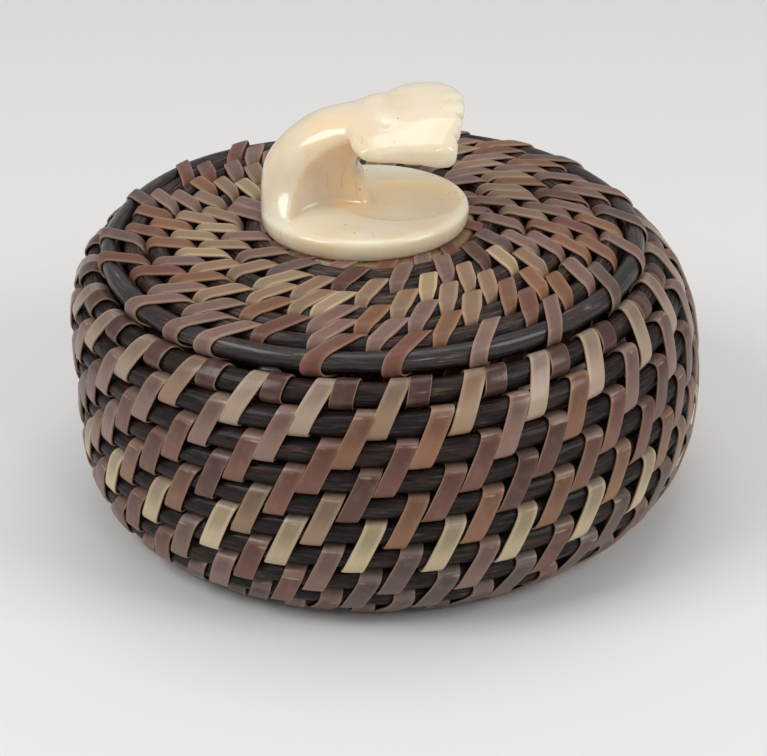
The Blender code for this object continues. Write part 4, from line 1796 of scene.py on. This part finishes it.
@dataclass(frozen=True)
class Finial:
    """The carved ivory tail on the lid.

    It stands the seat gap and the lift over the disc. Its plate is deeper from front to back
    than the solid's by the factor deepening. The tans are how tan its hollows are, partly its
    own tan and partly painted shade; under the flukes the tan is all painted shade.
    """

    lid: Lid
    length: float = 29.7 * MM
    depth: float = 24.6 * MM
    deepening: float = 1.12
    plate_thickness: float = 2.5 * MM
    offset: float = -1.0 * MM
    seat_gap: float = 0.3 * MM
    lift: float = 0.5 * MM
    voxel: float = 0.22 * MM
    sides: int = 64
    polish: float = 0.5
    polish_passes: int = 6
    rubbing: float = 0.6
    rubbing_passes: int = 90
    # How tan the neck's hollow and the dish are, partly painted shade, the shoulder's own tan, and
    # the painted shade under the flukes
    neck_tan_and_shade: float = 0.45
    dish_tan_and_shade: float = 0.9
    shoulder_tan: float = 0.35
    under_painted_shade: float = 0.4

    @property
    def half(self) -> float:
        """Return half the length, which is the unit of the carving's shares."""
        return self.length / 2

    def plate(self) -> list[list[Vector]]:
        """Return the rings of the oval plate, a little lower at the edge than its solid."""
        return [[Vector((self.half * share * math.cos(turn),
                         self.depth / 2 * share * self.deepening * math.sin(turn),
                         self.plate_thickness * height)) for turn in round_angles(self.sides)]
                for height, share in PLATE_EDGE]

    def part(self, name: str, rings: Sequence[Sequence[Vector]],
             scoops: Sequence[Scoop]) -> bpy.types.Object:
        """Skin a part of the carving over rings and cut its hollows.

        Args:
            name: Name of the part.
            rings: Its rings.
            scoops: Its hollows.

        Returns:
            The part.
        """
        thing = new_object(name, tube(name, rings))
        for scoop in scoops:
            cutter = new_object("cutter", tube("cutter", scoop.rings(self.half, self.sides)))
            cut = thing.modifiers.new("cut", "BOOLEAN")
            cut.operation = "DIFFERENCE"
            cut.object = cutter
            evaluated_mesh(thing)
            bpy.data.objects.remove(cutter)
        return thing

    def build(self) -> list[bpy.types.Object]:
        """Build the finial as one smooth body in place of its solid, and return it."""
        tail = [part.ring(self.half, self.sides) for part in spline(TAIL, 6)]
        flukes = [part.ring(self.half, self.sides) for part in FLUKES]
        parts = [self.part("tail", tail, (TAIL_SCOOP,)), self.part("flukes", flukes, NOTCHES),
                 self.part("plate", self.plate(), (PLATE_DISH,))]
        bm = bmesh.new()
        for part in parts:
            bm.from_mesh(part.data)
            bpy.data.objects.remove(part)
        mesh = bpy.data.meshes.new("finial_carving")
        bm.to_mesh(mesh)
        bm.free()
        finial = new_object("finial_carving", mesh, IVORY, 60)
        remesh = finial.modifiers.new("carve", "REMESH")
        remesh.mode = "VOXEL"
        remesh.voxel_size = self.voxel
        self.rub(finial, self.polish, self.polish_passes, "")
        self.rub(finial, self.rubbing, self.rubbing_passes, self.soft_group(finial))
        store(finial.data, "hollow", [self.hollow(v.co, v.normal) for v in finial.data.vertices])
        underside = (self.lid.disc_height + DISC_THICKNESS / 2 + self.seat_gap + self.lift)
        place = Vector((self.lid.centre() + self.offset, 0, underside))
        finial.data.transform(Matrix.Translation(place))
        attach(finial, "lid")
        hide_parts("finial")
        return [finial]

    def rub(self, finial: bpy.types.Object, share: float, passes: int, group: str) -> None:
        """Smooth the carving.

        Args:
            finial: The carving.
            share: Share of the way to its neighbours that each point goes in a pass.
            passes: Number of passes.
            group: Vertex group that is smoothed, or an empty name for all of it.
        """
        relax = finial.modifiers.new("rub", "SMOOTH")
        relax.factor = share
        relax.iterations = passes
        relax.vertex_group = group
        evaluated_mesh(finial).shade_smooth()

    def soft_group(self, finial: bpy.types.Object) -> str:
        """Mark where the neck blends into the flukes, and the hollow into the dish.

        Args:
            finial: The carving.

        Returns:
            Name of the vertex group.
        """
        group = finial.vertex_groups.new(name="soft")
        for vertex in finial.data.vertices:
            spot = vertex.co / self.half
            weight = max(smooth((reach - (spot - Vector(middle)).length) / (0.6 * reach))
                         for middle, reach in SOFT_SPOTS)
            if weight > 0:
                group.add([vertex.index], weight, "REPLACE")
        return group.name

    def hollow(self, place: Vector, normal: Vector) -> float:
        """Find how tan the ivory is: most in the hollows, partly painted shade there, and under the
        flukes, where it is painted shade.

        Args:
            place: A point of the carving.
            normal: The surface's direction there.

        Returns:
            Share of tan.
        """
        spot = place / self.half
        # The neck's hollow and the plate's dish: partly the ivory's own tan, partly painted shade
        neck = smooth((1.1 - TAIL_SCOOP.depth(spot)) / 0.1) * smooth((1.0 - spot.z) / 0.2)
        neck *= smooth((spot.y + 0.32) / 0.2) * (0.1 + 0.9 * smooth((spot.x + 0.48) / 0.36))
        dish = smooth((1.1 - PLATE_DISH.depth(spot)) / 0.14) * smooth((0.26 - spot.z) / 0.08)
        shoulder = smooth((0.55 - (spot - Vector((-0.32, -0.25, 1.0))).length) / 0.4)
        # Painted shade on the faces that look down under the flukes
        under = smooth((-normal.z - 0.2) / 0.5) * smooth((spot.z - 0.7) / 0.1)
        return max(self.neck_tan_and_shade * neck, self.dish_tan_and_shade * dish, self.shoulder_tan * shoulder,
                   self.under_painted_shade * under)


@dataclass(frozen=True)
class RodEnd:
    """The shiny end of rod that peeps out under the lid's outer round.

    Its place is in turns of the lid's coil, and the side says how far under the rod it lies.
    """

    lid: Lid
    turns: float = 6.453
    length: float = 3.4 * MM
    radius: float = 0.55 * MM
    tip_radius: float = 0.05 * MM
    side: float = math.radians(38)
    steps: int = 12
    smooth_angle: float = 50

    def build(self) -> list[bpy.types.Object]:
        """Build the end of rod and return it."""
        lid = self.lid.winding()
        rings = []
        for i in range(self.steps + 1):
            share = i / self.steps
            turns = self.turns + (share - 0.5) * self.length / lid.reach(self.turns)
            along, across = lid.axes(turns)
            spoke = along * math.cos(self.side) + across * math.sin(self.side)
            other = across * math.cos(self.side) - along * math.sin(self.side)
            radius = self.radius * (1 - (2 * share - 1) ** 4) ** 0.5 + self.tip_radius
            centre = lid.place(turns) + spoke * (lid.rod_radius + self.radius)
            rings.append([centre + (spoke * math.cos(turn) + other * math.sin(turn)) * radius
                          for turn in round_angles(ROD_SIDES)])
        mesh = tube("rod_stub", rings)
        run_along(mesh, [self.length * i / self.steps / MM for i in range(self.steps + 1)])
        stub = new_object("rod_stub", mesh, EDGE_ROD, self.smooth_angle)
        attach(stub, "lid")
        return [stub]


@dataclass(frozen=True)
class Lamp:
    """A square soft lamp: its place, its side and its watts."""

    name: str
    place: tuple[float, float, float]
    size: float
    watts: float


LAMPS = (Lamp("key", (-0.40, -0.20, 0.46), 0.30, 1.6),
         Lamp("fill", (0.45, -0.22, 0.36), 0.26, 1.15),
         Lamp("spark", (0.16, -0.42, 0.34), 0.05, 0.14),
         Lamp("top", (0.04, 0.10, 0.62), 0.36, 0.9))


@dataclass(frozen=True)
class Studio:
    """Floor, lamps, world and camera. The camera's sizes are fitted to the photograph."""

    floor_size: float = 3.0
    world_light: float = 0.44
    lamp_aim: tuple[float, float, float] = (0, 0, 20 * MM)
    picture_width: int = 767
    focal_pixels: float = 2737.2
    sensor_width: float = 36.0
    distance: float = 400 * MM
    target: tuple[float, float, float] = (-0.44 * MM, -3.2 * MM, 18.5 * MM)
    elevation: float = math.radians(28.246)
    roll: float = math.radians(1.058)
    nearest: float = 0.01
    farthest: float = 20

    def build(self) -> None:
        """Build the studio."""
        self.floor()
        self.world()
        for lamp in LAMPS:
            self.light(lamp)
        self.camera()
        bpy.context.scene.view_settings.view_transform = "Standard"

    def floor(self) -> None:
        """Build the pale floor."""
        mesh = bpy.data.meshes.new("floor")
        corners = ((-1, -1), (1, -1), (1, 1), (-1, 1))
        mesh.from_pydata([(x * self.floor_size, y * self.floor_size, 0) for x, y in corners], [],
                         [(0, 1, 2, 3)])
        new_object("floor", mesh, FLOOR)

    def world(self) -> None:
        """Light the scene softly and evenly from all round."""
        world = bpy.data.worlds.new("studio")
        world.use_nodes = True
        world.node_tree.nodes.clear()
        bpy.context.scene.world = world
        nodes = Nodes(world.node_tree)
        nodes.add(Kind.SKY, nodes.add(Kind.BACKGROUND, (1, 1, 1, 1), Strength=self.world_light))

    def light(self, lamp: Lamp) -> None:
        """Add a lamp that faces the basket.

        Args:
            lamp: The lamp.
        """
        light = bpy.data.lights.new(lamp.name, "AREA")
        light.shape = "SQUARE"
        light.size = lamp.size
        light.energy = lamp.watts
        thing = bpy.data.objects.new(lamp.name, light)
        thing.location = lamp.place
        aim = Vector(self.lamp_aim) - Vector(lamp.place)
        thing.rotation_euler = aim.to_track_quat("-Z", "Y").to_euler()
        bpy.context.scene.collection.objects.link(thing)

    def camera(self) -> None:
        """Set the camera as the photograph's."""
        lens = bpy.data.cameras.new("camera")
        lens.sensor_width = self.sensor_width
        lens.sensor_fit = "HORIZONTAL"
        lens.lens = self.focal_pixels / self.picture_width * self.sensor_width
        lens.clip_start = self.nearest
        lens.clip_end = self.farthest
        camera = bpy.data.objects.new("camera", lens)
        bpy.context.scene.collection.objects.link(camera)
        back = Vector((0, -math.cos(self.elevation), math.sin(self.elevation)))
        right = Vector((1, 0, 0))
        up = back.cross(right)
        tilted = right * math.cos(self.roll) - up * math.sin(self.roll)
        raised = up * math.cos(self.roll) + right * math.sin(self.roll)
        frame = Matrix((tilted, raised, back)).transposed().to_4x4()
        frame.translation = Vector(self.target) + back * self.distance
        camera.matrix_world = frame
        bpy.context.scene.camera = camera


def dress(nodes: dict[str, bpy.types.Object]) -> None:
    """Give the solids that stay in view their finishes.

    Args:
        nodes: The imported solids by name.
    """
    finishes = {"base_disc": DISC_IVORY, "lid_disc": DISC_IVORY, "finial_peg_left": PEG,
                "finial_peg_right": PEG}
    for name, finish in finishes.items():
        nodes[name].data.materials.clear()
        nodes[name].data.materials.append(finish.material())


def main() -> None:
    """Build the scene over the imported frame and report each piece."""
    logging.basicConfig(level=logging.INFO)
    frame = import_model()
    weave = WeaveNodes()
    body = Body(weave)
    lid = Lid(weave, body)
    for part in (body, lid, Finial(lid), RodEnd(lid)):
        for piece in part.build():
            LOG.info("%s: %d faces", piece.name, len(piece.data.polygons))
    dress(frame["nodes"])
    Studio().build()


if __name__ == "__main__":
    main()
